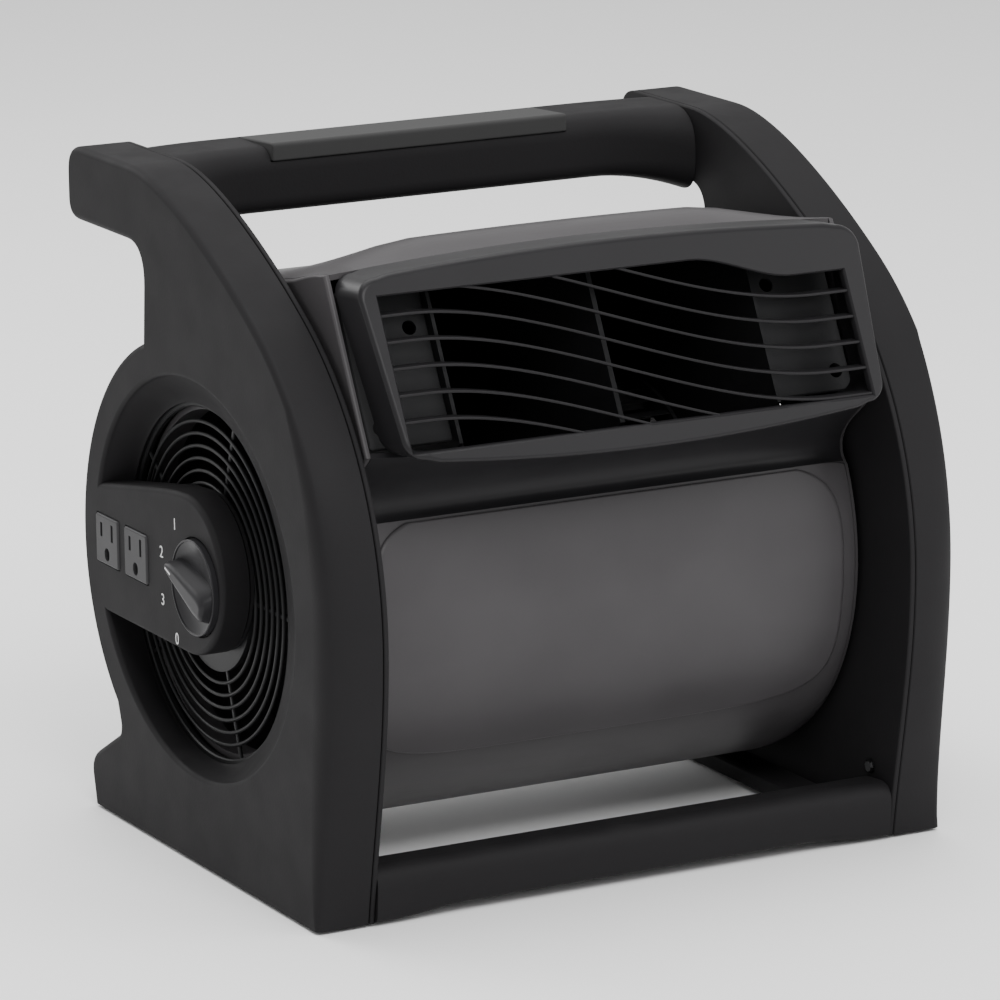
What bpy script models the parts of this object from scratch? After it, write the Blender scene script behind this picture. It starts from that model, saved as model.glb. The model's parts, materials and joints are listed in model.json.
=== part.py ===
"""Pivoting twin-inlet utility blower.

Two hollow side frames, joined by a handle bar and a front cross bar, carry a drum on round journals.
The drum holds a motor with a blower wheel on each side and blows out through a louvred nozzle.
X runs along the drum, Y to the back, Z up. Side views are drawn as (y, z) with the drum axis at y = 0.
"""

import math

import bmesh
import bpy
from mathutils import Vector

# ---------------------------------------------------------------- driving sizes (metres)
WIDTH = 0.325                     # across the outer faces of the side frames
HEIGHT = 0.320                    # floor to the top of the handle bar
WALL = 0.003                      # moulded wall of the frames and the nozzle
SHELL_WALL = 0.0025               # moulded wall of the drum
BAND_WIDTH = 0.0285               # width of each frame's rounded front band
MOTOR_RADIUS = 0.042
MOTOR_HALF_LENGTH = 0.0318
SHAFT_RADIUS = 0.004
WHEEL_LENGTH = 0.043
BLADE_COUNT = 20
KNOB_RADIUS = 0.021
KNOB_HEIGHT = 0.0105
OUTLET_WIDTH = 0.0245
OUTLET_HEIGHT = 0.0235
SCREW_RADIUS = 0.0019
FOOT_PAD_RADIUS = 0.009
LOUVRE_COUNT = 8
RING_COUNT = 6
SPOKE_COUNT = 5

# ---------------------------------------------------------------- clearances
GAP = 0.0003                      # between pieces that touch
RUN_GAP = 0.00006                 # shaft in its bearings
SCREW_HOLE = SCREW_RADIUS + GAP
FLOOR_LIFT = 0.0015               # frames stand this far up on their rubber pads

# ---------------------------------------------------------------- sizes that follow the height
TOP = HEIGHT - 0.0025             # top of the side frames, just under the handle grip
AXIS_Z = 0.4047 * TOP
FRAME_FRONT = 0.4935 * TOP
BASE_FRONT = 0.4362 * TOP
FRONT_ARC_RADIUS = 0.504 * TOP
FRONT_ARC_Z = 0.4126 * TOP
REAR_REACH = 0.352 * TOP
HANDLE_UNDERSIDE = 0.890 * TOP
NECK_Y = 0.092 * TOP
BULGE_Y = -0.016 * TOP
BULGE_Z = 0.425 * TOP
BULGE_RADIUS = 0.342 * TOP
FOOT_HEIGHT = 0.073 * TOP
FOOT_NECK_Y = 0.209 * TOP
CROWN = 0.047 * TOP               # how far the front band swells past the flat side face
CROWN_FULLNESS = 2.5              # 2 would be an ellipse, more is squarer
EDGE_ROUND = 0.0035

INTAKE_RADIUS = 0.263 * TOP       # opening at the floor of the intake recess
MOUTH_Y = -0.052 * TOP            # centre of the wider, forward-set mouth of that recess
MOUTH_Z = 0.4283 * TOP
MOUTH_HALF_Y = 0.326 * TOP
MOUTH_HALF_Z = 0.2913 * TOP
RECESS_DEPTH = 0.0170
RING_INNER_RADIUS = 0.1455 * TOP

DRUM_RADIUS = 0.3528 * TOP
DRUM_Y = -0.025 * TOP
DRUM_TOP_ANGLE = 25.0             # where the drum front gives way to the recess under the nozzle
SEAM_ANGLE = 255.0                # where the two drum shells meet underneath
SCROLL_TOP = 0.4488 * TOP         # scroll radius straight above the axis
SCROLL_GROWTH = 2.2
NOZZLE_TOP_Y = -0.3685 * TOP      # front face of the nozzle, upper edge
NOZZLE_TOP_Z = 0.909 * TOP
NOZZLE_LOW_Y = -0.4882 * TOP      # front face of the nozzle, lower edge
NOZZLE_LOW_Z = 0.6724 * TOP
NOZZLE_DEPTH = 0.0245
NOZZLE_BACK = Vector((0.9967, -0.0815)).normalized() * NOZZLE_DEPTH
NOZZLE_CHAMFER = 0.0022
PANEL_RISE = 0.0008               # how far the front panel stands off the drum
PANEL_MIDDLE = -4.5               # middle and half height of that panel, as angles on the drum
PANEL_HALF = 31.5
SHELL_TOP_BOW = 0.0045            # swell of the drum's mouth towards the middle of its width
SHELL_LOW_BOW = 0.0060
NOZZLE_TOP_BOW = 0.0055
NOZZLE_LOW_BOW = 0.0075

LOUVRE_LEFT = -0.930              # outlet opening, as shares of the nozzle's half width
LOUVRE_RIGHT = 0.905
LOUVRE_TOP = 0.0090               # distances down the nozzle face
LOUVRE_LOW = 0.0035
LOUVRE_DROP = 0.0500
LOUVRE_PITCH = 0.0122
LOUVRE_THICK = 0.0015
LOUVRE_DEPTH = 0.0105

# ---------------------------------------------------------------- sizes that follow the width
HALF = WIDTH / 2
BAND_X = HALF - BAND_WIDTH        # inner face of each side frame
COVER_THICK = 0.0025
RIM_X = BAND_X + COVER_THICK + GAP
RECESS_X = HALF - RECESS_DEPTH
DRUM_END_X = BAND_X - 0.003
END_PLATE = 0.0025
SHELL_X = DRUM_END_X - END_PLATE - GAP
JOURNAL_X = RECESS_X - 0.0055
PIVOT_HOLE = INTAKE_RADIUS
JOURNAL_RADIUS = PIVOT_HOLE - GAP
JOURNAL_BORE = JOURNAL_RADIUS - 0.0035
SEAT_RADIUS = INTAKE_RADIUS + 0.005
NOZZLE_HALF_TOP = SHELL_X - 0.0005
NOZZLE_HALF_LOW = NOZZLE_HALF_TOP - 0.005

WHEEL_START_X = MOTOR_HALF_LENGTH + 0.003
WHEEL_END_X = WHEEL_START_X + WHEEL_LENGTH
SCROLL_PLATE_X = WHEEL_END_X + 0.003
WHEEL_RADIUS = 0.647 * DRUM_RADIUS
WHEEL_INNER = WHEEL_RADIUS - 0.012
INLET_RADIUS = WHEEL_INNER - 0.003
SHAFT_END_X = WHEEL_START_X + 0.019
HUB_RADIUS = 2.6 * SHAFT_RADIUS
BEARING_RADIUS = SHAFT_RADIUS + 0.0052

TONGUE_Y = -0.0315 * TOP
TONGUE_Z = 0.4315 * TOP
TONGUE_RADIUS = max(0.118 * TOP, KNOB_RADIUS + 0.012)
TONGUE_REAR = MOUTH_Y + MOUTH_HALF_Y + 0.005
TONGUE_FLOOR_X = RECESS_X + 0.0025
KNOB_Y = TONGUE_Y - 0.0115
KNOB_Z = TONGUE_Z - 0.0035
OUTLET_Z = TONGUE_Z - 0.0025
OUTLET_PITCH = OUTLET_WIDTH + 0.007
OUTLET_Y = TONGUE_REAR - 0.005 - OUTLET_PITCH - OUTLET_WIDTH / 2
POINTER_ANGLE = 21.0              # the way the knob's raised grip points in the side view, in degrees
SPINDLE_RADIUS = 0.0029
SPINDLE_HOLE = 0.0033
GLAND_RADIUS = 0.0055
GLAND_BORE = 0.0034
GLAND_X = -(RIM_X + 0.0118)

BAR_FRONT = BASE_FRONT + 0.004
BAR_DEPTH = 0.026
BAR_TOP = 0.0880 * TOP
HANDLE_FRONT = 0.158 * TOP
HANDLE_REAR = 0.302 * TOP
HANDLE_BOTTOM = 0.902 * TOP
GRIP_HALF = 0.64 * BAND_X

KNOB_REACH = KNOB_HEIGHT + GAP
AXIS = Vector((0.0, 0.0, AXIS_Z))

SMOOTH_ANGLE = math.radians(34)


# ---------------------------------------------------------------- drawing in the side view
def arc(centre, radius, start, end, count):
    """Points on a circle from one angle to another, in degrees."""
    points = []
    for i in range(count):
        angle = math.radians(start + (end - start) * i / (count - 1))
        points.append((centre[0] + radius * math.cos(angle), centre[1] + radius * math.sin(angle)))
    return points


def bezier(p0, p1, p2, p3, count):
    """Points along a cubic curve, both ends included."""
    points = []
    for i in range(count):
        t = i / (count - 1)
        s = 1 - t
        weights = (s * s * s, 3 * s * s * t, 3 * s * t * t, t * t * t)
        points.append(tuple(sum(w * p[k] for w, p in zip(weights, (p0, p1, p2, p3))) for k in (0, 1)))
    return points


def rounded(corners, radii, steps=4):
    """An open line through the corners, with each inner corner rounded over the given length."""
    points = [corners[0]]
    for i in range(1, len(corners) - 1):
        here = Vector(corners[i])
        into = (Vector(corners[i - 1]) - here).normalized() * radii[i - 1]
        out = (Vector(corners[i + 1]) - here).normalized() * radii[i - 1]
        for k in range(steps + 1):
            t = k / steps
            p = here + into * (1 - t) ** 2 + out * t ** 2
            points.append((p.x, p.y))
    points.append(corners[-1])
    return points


def circle(radius, count, centre=(0.0, 0.0)):
    """A closed circle, counted clockwise in the side view like every other outline."""
    return arc(centre, radius, 180.0, 180.0 - 360.0 * (count - 1) / count, count)


def ellipse(half_y, half_z, count, centre):
    """A closed ellipse with the same start and direction as circle."""
    return [(centre[0] + half_y * math.cos(a), centre[1] + half_z * math.sin(a))
            for a in (math.pi - math.tau * i / count for i in range(count))]


def box_outline(centre, size_y, size_z):
    """A closed rectangle."""
    y, z = centre
    return [(y - size_y / 2, z - size_z / 2), (y - size_y / 2, z + size_z / 2),
            (y + size_y / 2, z + size_z / 2), (y + size_y / 2, z - size_z / 2)]


def inset(outline, distance, closed=True):
    """Move a clockwise outline inward; distance is one number or one per point."""
    count = len(outline)
    distances = distance if isinstance(distance, list) else [distance] * count
    result = []
    for i, (y, z) in enumerate(outline):
        before = outline[i - 1] if closed or i > 0 else None
        after = outline[(i + 1) % count] if closed or i < count - 1 else None
        normals = []
        if before:
            normals.append(Vector((z - before[1], before[0] - y)).normalized())
        if after:
            normals.append(Vector((after[1] - z, y - after[0])).normalized())
        mean = sum(normals, Vector((0.0, 0.0))).normalized()
        reach = distances[i] / max(mean.dot(normals[0]), 0.5)
        result.append((y + mean.x * reach, z + mean.y * reach))
    return result


# ---------------------------------------------------------------- building meshes
def ring_of(bm, outline, x):
    """Place a side-view outline at one x."""
    return [bm.verts.new((x, y, z)) for y, z in outline]


def join_rings(bm, first, second, closed=True):
    """Fill the strip between two rings of equal length."""
    count = len(first)
    for i in range(count if closed else count - 1):
        j = (i + 1) % count
        bm.faces.new((first[i], first[j], second[j], second[i]))


def add_loft(bm, sections):
    """Add a closed solid through (x, outline) sections."""
    rings = [ring_of(bm, outline, x) for x, outline in sections]
    for a, b in zip(rings, rings[1:]):
        join_rings(bm, a, b)
    bm.faces.new(rings[0])
    bm.faces.new(rings[-1])


def add_prism(bm, outline, x0, x1):
    """Add a straight solid between two x positions."""
    add_loft(bm, [(x0, outline), (x1, outline)])


def add_tube(bm, outer, inner, x0, x1):
    """Add a straight hollow solid from two outlines of equal length."""
    rings = [ring_of(bm, outer, x0), ring_of(bm, outer, x1), ring_of(bm, inner, x1), ring_of(bm, inner, x0)]
    for i in range(4):
        join_rings(bm, rings[i], rings[(i + 1) % 4])


def add_lathe(bm, profile, count, centre=(0.0, 0.0)):
    """Turn a closed (x, radius) profile about a line along X; radius 0 closes the end."""
    rings = []
    for x, radius in profile:
        if radius == 0:
            rings.append([bm.verts.new((x, centre[0], centre[1]))])
        else:
            rings.append(ring_of(bm, circle(radius, count, centre), x))
    closed = all(len(ring) > 1 for ring in rings)
    pairs = list(zip(rings, rings[1:]))
    if closed:
        pairs.append((rings[-1], rings[0]))
    for a, b in pairs:
        if len(a) > 1 and len(b) > 1:
            join_rings(bm, a, b)
        elif len(a) > 1 or len(b) > 1:
            ring, tip = (a, b[0]) if len(a) > 1 else (b, a[0])
            for i in range(count):
                bm.faces.new((ring[i], ring[(i + 1) % count], tip))


def add_box(bm, low, high):
    """Add a box between two corners."""
    centre = ((low[1] + high[1]) / 2, (low[2] + high[2]) / 2)
    add_prism(bm, box_outline(centre, high[1] - low[1], high[2] - low[2]), low[0], high[0])


def make_object(name, bm, material, origin=Vector((0.0, 0.0, 0.0))):
    """Turn a bmesh into a named object whose own origin is at the given point."""
    bmesh.ops.recalc_face_normals(bm, faces=bm.faces)
    mesh = bpy.data.meshes.new(name)
    bm.to_mesh(mesh)
    bm.free()
    for vertex in mesh.vertices:
        vertex.co -= origin
    obj = bpy.data.objects.new(name, mesh)
    bpy.context.scene.collection.objects.link(obj)
    obj.location = origin - Vector((CENTRE_X, CENTRE_Y, 0.0))
    mesh.shade_smooth()
    mesh.set_sharp_from_angle(angle=SMOOTH_ANGLE)
    if material:
        mesh.materials.append(material)
    return obj


def combine(target, name, bm, operation="DIFFERENCE"):
    """Cut a shape from an object or join it on; the tool shape itself is never rendered."""
    tool = make_object(name, bm, target.data.materials[0])
    tool.hide_render = True
    tool.display_type = "WIRE"
    modifier = target.modifiers.new(name, "BOOLEAN")
    modifier.operation = operation
    modifier.solver = "EXACT"
    modifier.object = tool


def make_material(name, colour, roughness, metallic=0.0):
    """A plain surface finish."""
    material = bpy.data.materials.new(name)
    material.use_nodes = True
    shader = material.node_tree.nodes["Principled BSDF"]
    shader.inputs["Base Color"].default_value = (*colour, 1.0)
    shader.inputs["Roughness"].default_value = roughness
    shader.inputs["Metallic"].default_value = metallic
    return material


def make_materials():
    """Every finish used, by slot name."""
    table = {
        "frame_plastic": ((0.030, 0.030, 0.032), 0.55, 0.0),
        "grille_plastic": ((0.020, 0.020, 0.022), 0.45, 0.0),
        "drum_plastic": ((0.110, 0.108, 0.108), 0.38, 0.0),
        "nozzle_plastic": ((0.022, 0.022, 0.024), 0.40, 0.0),
        "baffle_plastic": ((0.075, 0.075, 0.076), 0.50, 0.0),
        "outlet_plastic": ((0.160, 0.160, 0.165), 0.45, 0.0),
        "knob_plastic": ((0.035, 0.035, 0.038), 0.35, 0.0),
        "grip_rubber": ((0.018, 0.018, 0.019), 0.60, 0.0),
        "pad_rubber": ((0.015, 0.015, 0.015), 0.80, 0.0),
        "friction_felt": ((0.060, 0.058, 0.055), 0.90, 0.0),
        "electrical_plastic": ((0.050, 0.050, 0.055), 0.45, 0.0),
        "zinc_steel": ((0.560, 0.570, 0.580), 0.35, 1.0),
        "core_steel": ((0.300, 0.300, 0.310), 0.45, 1.0),
        "cap_aluminium": ((0.600, 0.610, 0.620), 0.40, 1.0),
        "wheel_plastic": ((0.045, 0.045, 0.047), 0.50, 0.0),
    }
    return {name: make_material(name, *values) for name, values in table.items()}


# ---------------------------------------------------------------- side frames
def frame_profile():
    """The side view of a frame, clockwise from the base front."""
    arc_y = FRONT_ARC_RADIUS - FRAME_FRONT
    low = bezier((-BASE_FRONT, FLOOR_LIFT), (-BASE_FRONT - 0.02 * TOP, 0.142 * TOP),
                 (-FRAME_FRONT, 0.268 * TOP), (-FRAME_FRONT, FRONT_ARC_Z), 7)
    swell = arc((arc_y, FRONT_ARC_Z), FRONT_ARC_RADIUS, 180.0, 123.8, 9)
    last = swell[-1]
    brow = bezier(last, (last[0] + 0.092 * TOP, last[1] + 0.0615 * TOP), (0.016 * TOP, TOP),
                  (0.142 * TOP, TOP), 7)
    neck_z = BULGE_Z + math.sqrt(BULGE_RADIUS ** 2 - (NECK_Y + 0.01 * TOP - BULGE_Y) ** 2)
    rear = rounded([brow[-1], (REAR_REACH, TOP), (REAR_REACH, HANDLE_UNDERSIDE), (NECK_Y, HANDLE_UNDERSIDE),
                    (NECK_Y + 0.01 * TOP, neck_z)], [0.042 * TOP, 0.033 * TOP, 0.06 * TOP], 3)
    start = math.degrees(math.atan2(neck_z - BULGE_Z, NECK_Y + 0.01 * TOP - BULGE_Y))
    bulge = arc((BULGE_Y, BULGE_Z), BULGE_RADIUS, start, -45.5, 15)
    foot = rounded([bulge[-1], (FOOT_NECK_Y, FOOT_HEIGHT + 0.065 * TOP), (0.326 * TOP, FOOT_HEIGHT),
                    (0.307 * TOP, FLOOR_LIFT)], [0.018 * TOP, 0.032 * TOP], 3)
    return low + swell[1:] + brow[1:] + rear[1:-1] + bulge + foot[1:]


def frame_crown(profile):
    """How far the outer face lies inside the full profile, point by point."""
    depths = []
    for y, z in profile:
        swell = 0.0
        if y < 0 and z < 0.74 * TOP:
            swell = CROWN * math.sin(math.pi * max(z - FLOOR_LIFT, 0.0) / (0.74 * TOP)) ** 0.8
        depths.append(EDGE_ROUND + swell)
    return depths


def frame_section(profile, crown, x, extra=0.0):
    """The frame's outline at one x, pulled in by the band's crown and by an extra wall."""
    share = min(max((x - BAND_X) / BAND_WIDTH, 0.0), 1.0)
    pull = 1.0 - (1.0 - share ** CROWN_FULLNESS) ** (1.0 / CROWN_FULLNESS)
    moved = inset(profile, [depth * pull + extra for depth in crown])
    floor = FLOOR_LIFT + extra
    return [(y, floor if old[1] <= FLOOR_LIFT else z) for (y, z), old in zip(moved, profile)]


def tongue_outline(margin, rear_end=TONGUE_REAR):
    """The control tongue that reaches across the intake, pulled in by a margin."""
    radius = TONGUE_RADIUS - margin
    nose = arc((TONGUE_Y, TONGUE_Z), radius, 270.0, 90.0, 17)
    rear = rear_end - margin
    shoulder = [(TONGUE_Y + 0.7 * TONGUE_RADIUS, TONGUE_Z + 0.95 * TONGUE_RADIUS - margin),
                (rear - 0.25 * TONGUE_RADIUS, TONGUE_Z + 0.66 * TONGUE_RADIUS - margin),
                (rear, TONGUE_Z + 0.62 * TONGUE_RADIUS - margin)]
    return nose + shoulder + [(rear, TONGUE_Z - radius)]


def boss_places():
    """Where the screws that hold each inner cover stand."""
    return [(-0.200 * TOP, 0.800 * TOP), (-0.388 * TOP, 0.10 * TOP), (0.235 * TOP, 0.09 * TOP)]


def handle_screw_places():
    """Screws from inside each frame into the end of the handle bar."""
    middle = (HANDLE_BOTTOM + TOP) / 2
    return [(HANDLE_FRONT + 0.012, middle), (HANDLE_REAR - 0.012, middle)]


def bar_screw_places():
    """Screws from inside each frame into the end of the cross bar."""
    return [(-BAR_FRONT + 0.0105, 0.052 * TOP), (-BAR_FRONT + BAR_DEPTH - 0.0055, 0.052 * TOP)]


def make_side_frame(side, finishes):
    """One hollow side frame, open towards the drum, with its dished intake."""
    name = "left" if side < 0 else "right"
    profile = frame_profile()
    crown = frame_crown(profile)
    face_in = HALF - WALL
    bm = bmesh.new()
    outer_x = [RIM_X] + [BAND_X + BAND_WIDTH * share for share in (0.50, 0.76, 0.93, 1.0)]
    inner_x = [face_in, BAND_X + BAND_WIDTH * 0.66, RIM_X]
    outer = [ring_of(bm, frame_section(profile, crown, x), side * x) for x in outer_x]
    inner = [ring_of(bm, frame_section(profile, crown, x, WALL), side * x) for x in inner_x]
    rings = outer + inner
    for i, ring in enumerate(rings[:-1]):
        if i != len(outer) - 1:
            join_rings(bm, ring, rings[i + 1])
    join_rings(bm, inner[-1], outer[0])
    bm.faces.new(outer[-1])
    bm.faces.new(inner[0])
    frame = make_object(f"{name}_side_frame", bm, finishes["frame_plastic"])

    count = 36
    seat = circle(SEAT_RADIUS + WALL, count, (0.0, AXIS_Z))
    mouth_wall = ellipse(MOUTH_HALF_Y + WALL, MOUTH_HALF_Z + WALL, count, (MOUTH_Y, MOUTH_Z))
    bm = bmesh.new()
    add_loft(bm, [(side * (RIM_X + 0.0004), seat), (side * RECESS_X, seat),
                  (side * (HALF - 0.0012), mouth_wall)])
    combine(frame, f"{name}_dish_wall", bm, "UNION")

    bm = bmesh.new()
    mouth = ellipse(MOUTH_HALF_Y, MOUTH_HALF_Z, count, (MOUTH_Y, MOUTH_Z))
    mouth_lip = ellipse(MOUTH_HALF_Y + 0.0025, MOUTH_HALF_Z + 0.0025, count, (MOUTH_Y, MOUTH_Z))
    opening = circle(INTAKE_RADIUS, count, (0.0, AXIS_Z))
    grille_seat = circle(SEAT_RADIUS, count, (0.0, AXIS_Z))
    add_loft(bm, [(side * (BAND_X - 0.002), grille_seat), (side * (RECESS_X + 0.0002), grille_seat),
                  (side * (RECESS_X + 0.0003), opening), (side * (RECESS_X + 0.0015), opening),
                  (side * (HALF - 0.0025), mouth), (side * (HALF + 0.0005), mouth_lip)])
    combine(frame, f"{name}_dish_space", bm)

    bm = bmesh.new()
    for place in boss_places():
        add_lathe(bm, [(side * (RIM_X + 0.0003), 0), (side * (RIM_X + 0.0003), 0.0048),
                       (side * (HALF - 0.0015), 0.0048), (side * (HALF - 0.0015), 0)], 12, place)
    combine(frame, f"{name}_bosses", bm, "UNION")
    bm = bmesh.new()
    for place in boss_places():
        add_lathe(bm, [(side * BAND_X, 0), (side * BAND_X, SCREW_HOLE),
                       (side * (HALF - 0.008), SCREW_HOLE), (side * (HALF - 0.008), 0)], 10, place)
    combine(frame, f"{name}_boss_holes", bm)
    return frame


def add_control_tongue(frame):
    """Build the control tongue into the left frame and open it for knob, outlets and cord."""
    bm = bmesh.new()
    edge = 0.0012
    add_loft(bm, [(-TONGUE_FLOOR_X, tongue_outline(0.0)), (-HALF + edge, tongue_outline(0.0)),
                  (-HALF + 0.0003, tongue_outline(edge * 0.7)), (-HALF - 0.0002, tongue_outline(edge * 1.4))])
    combine(frame, "tongue_body", bm, "UNION")
    bm = bmesh.new()
    add_prism(bm, tongue_outline(WALL), -HALF + WALL, -BAND_X - COVER_THICK)
    combine(frame, "tongue_space", bm)
    bm = bmesh.new()
    for y in (OUTLET_Y, OUTLET_Y + OUTLET_PITCH):
        window = box_outline((y, OUTLET_Z), OUTLET_WIDTH + 2 * GAP, OUTLET_HEIGHT + 2 * GAP)
        add_prism(bm, window, -HALF - 0.004, -HALF + WALL + 0.002)
    add_lathe(bm, [(-HALF - 0.004, 0), (-HALF - 0.004, 0.0036), (-HALF + WALL + 0.002, 0.0036),
                   (-HALF + WALL + 0.002, 0)], 16, (KNOB_Y, KNOB_Z))
    combine(frame, "tongue_windows", bm)
    bm = bmesh.new()
    add_lathe(bm, [(-0.012, 0), (-0.012, GLAND_RADIUS + GAP), (0.012, GLAND_RADIUS + GAP), (0.012, 0)], 16)
    turn_to_y(bm, (GLAND_X, BULGE_Y + BULGE_RADIUS, BULGE_Z))
    combine(frame, "gland_hole", bm)


def turn_to_y(bm, place):
    """Turn a shape made along X so that it points to +Y, and move it."""
    for vertex in bm.verts:
        x, y, z = vertex.co
        vertex.co = Vector((place[0] - y, place[1] + x, place[2] + z))


def turn_to_z(bm, place):
    """Turn a shape made along X so that it points to +Z, and move it."""
    for vertex in bm.verts:
        x, y, z = vertex.co
        vertex.co = Vector((place[0] + z, place[1] + y, place[2] + x))


def pad_places():
    """Foot pads of one side, as (y, x distance)."""
    return [(-0.330 * TOP, BAND_X - 0.008), (0.250 * TOP, BAND_X - 0.008)]


def make_inner_cover(side, finishes):
    """The plate that closes a side frame, with the drum's pivot hole and a wide foot rail."""
    name = "left" if side < 0 else "right"
    bm = bmesh.new()
    profile = frame_profile()
    lip = inset(profile, 0.0006)
    floor = [(y, FLOOR_LIFT if old[1] <= FLOOR_LIFT else z) for (y, z), old in zip(lip, profile)]
    add_loft(bm, [(side * BAND_X, floor), (side * (BAND_X + 0.0006), profile),
                  (side * (BAND_X + COVER_THICK), profile)])
    cover = make_object(f"{name}_inner_cover", bm, finishes["frame_plastic"])

    bm = bmesh.new()
    rail_front = -BAR_FRONT + BAR_DEPTH + 0.003
    rail_rear = 0.297 * TOP
    centre = ((rail_front + rail_rear) / 2, FLOOR_LIFT + 0.0045)
    rail = box_outline(centre, rail_rear - rail_front, 0.009)
    slim = box_outline((centre[0], centre[1] - 0.001), rail_rear - rail_front - 0.003, 0.007)
    add_loft(bm, [(side * (BAND_X + 0.0015), rail), (side * (BAND_X - 0.0145), rail),
                  (side * (BAND_X - 0.0165), slim)])
    combine(cover, f"{name}_foot_rail", bm, "UNION")

    bm = bmesh.new()
    x0, x1 = side * (BAND_X - 0.004), side * (BAND_X + COVER_THICK + 0.004)
    add_prism(bm, circle(PIVOT_HOLE, 40, (0.0, AXIS_Z)), x0, x1)
    for place in boss_places() + handle_screw_places() + bar_screw_places():
        add_prism(bm, circle(SCREW_HOLE, 10, place), x0, x1)
    combine(cover, f"{name}_cover_holes", bm)
    bm = bmesh.new()
    for y, x in pad_places():
        pad = bmesh.new()
        add_lathe(pad, [(-0.004, 0), (-0.004, 0.0033), (0.0065, 0.0033), (0.0065, 0)], 12)
        turn_to_z(pad, (side * x, y, 0.0))
        merge_into(bm, pad)
    combine(cover, f"{name}_pad_holes", bm)
    return cover


def merge_into(bm, other):
    """Copy one bmesh into another and free it."""
    scratch = bpy.data.meshes.new("scratch")
    other.to_mesh(scratch)
    other.free()
    bm.from_mesh(scratch)
    bpy.data.meshes.remove(scratch)


def make_foot_pads(side, finishes):
    """Two push-in rubber pads under one frame."""
    name = "left" if side < 0 else "right"
    for label, (y, x) in zip(("front", "rear"), pad_places()):
        bm = bmesh.new()
        top = FLOOR_LIFT - GAP
        add_lathe(bm, [(0.0, 0), (0.0, FOOT_PAD_RADIUS - 0.0005), (0.0005, FOOT_PAD_RADIUS),
                       (top, FOOT_PAD_RADIUS), (top, 0.003), (0.006, 0.003), (0.006, 0)], 16)
        turn_to_z(bm, (side * x, y, 0.0))
        make_object(f"{name}_{label}_foot_pad", bm, finishes["pad_rubber"])


def make_screw(name, side, x_head, length, place, finishes, inward):
    """A pan-head screw along X; its head sits at x_head and its shank runs inward or outward."""
    direction = side if inward else -side
    head = 0.0016
    bm = bmesh.new()
    add_lathe(bm, [(0.0, 0), (0.0, 0.0026), (0.0006, 0.0036), (head, 0.0036), (head, SCREW_RADIUS),
                   (head + length, SCREW_RADIUS), (head + length, 0)], 8)
    for vertex in bm.verts:
        x, y, z = vertex.co
        vertex.co = Vector((side * x_head + direction * x, place[0] + y, place[1] + z))
    make_object(name, bm, finishes["zinc_steel"])


def make_frame_screws(side, finishes):
    """The screws of one side: into the frame bosses, the handle bar and the cross bar."""
    name = "left" if side < 0 else "right"
    for i, place in enumerate(boss_places(), 1):
        make_screw(f"{name}_frame_screw_{i}", side, BAND_X - GAP - 0.0016, 0.014, place, finishes, True)
    for i, place in enumerate(handle_screw_places(), 1):
        make_screw(f"{name}_handle_screw_{i}", side, RIM_X + 0.0016, 0.016, place, finishes, False)
    for i, place in enumerate(bar_screw_places(), 1):
        make_screw(f"{name}_bar_screw_{i}", side, RIM_X + 0.0016, 0.016, place, finishes, False)


# ---------------------------------------------------------------- bars
def bar_section(front, rear, bottom, top, soft):
    """A soft-cornered bar section, clockwise; soft is the corner length."""
    middle = (front + rear) / 2
    corners = [(middle, bottom), (front, bottom), (front, top), (rear, top), (rear, bottom), (middle, bottom)]
    return rounded(corners, [soft] * 4, 3)[:-1]


def make_handle_bar(finishes):
    """The carrying bar between the frames, flared where it meets them."""
    end = BAND_X - GAP
    stations = [(-end, 1.0), (-end + 0.005, 0.62), (-end + 0.012, 0.30), (-end + 0.022, 0.08),
                (-end + 0.032, 0.0), (end - 0.045, 0.0), (end - 0.030, 0.10), (end - 0.018, 0.30),
                (end - 0.008, 0.66), (end, 1.0)]
    bm = bmesh.new()
    sections = []
    for x, flare in stations:
        front = HANDLE_FRONT - 0.014 * flare
        rear = HANDLE_REAR + 0.004 * flare
        bottom = HANDLE_BOTTOM - 0.010 * flare
        sections.append((x, bar_section(front, rear, bottom, TOP - 0.0005, 0.009)))
    add_loft(bm, sections)
    bar = make_object("handle_bar", bm, finishes["frame_plastic"])
    bm = bmesh.new()
    pocket = bar_section(HANDLE_FRONT - 0.004, HANDLE_REAR - 0.010, HANDLE_BOTTOM + 0.012, TOP + 0.006, 0.004)
    add_prism(bm, pocket, -GRIP_HALF - GAP, GRIP_HALF + GAP)
    combine(bar, "grip_pocket", bm)
    bm = bmesh.new()
    for side in (-1, 1):
        for place in handle_screw_places():
            add_prism(bm, circle(SCREW_HOLE, 10, place), side * (end + 0.004), side * (end - 0.018))
    combine(bar, "handle_screw_bores", bm)


def make_handle_grip(finishes):
    """The softer insert let into the front and top of the handle bar."""
    front, rear = HANDLE_FRONT - 0.0006, HANDLE_REAR - 0.0103
    bottom, top = HANDLE_BOTTOM + 0.0123, HEIGHT
    middle = (front + rear) / 2
    outline = rounded([(middle, bottom), (front, bottom), (front, top), (rear, top - 0.001), (rear, bottom),
                       (middle, bottom)], [0.0045, 0.011, 0.004, 0.0045], 4)[:-1]
    core = inset(outline, 0.0006)
    bm = bmesh.new()
    add_loft(bm, [(-GRIP_HALF, core), (-GRIP_HALF + 0.001, outline), (GRIP_HALF - 0.001, outline),
                  (GRIP_HALF, core)])
    make_object("handle_grip", bm, finishes["grip_rubber"])


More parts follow.
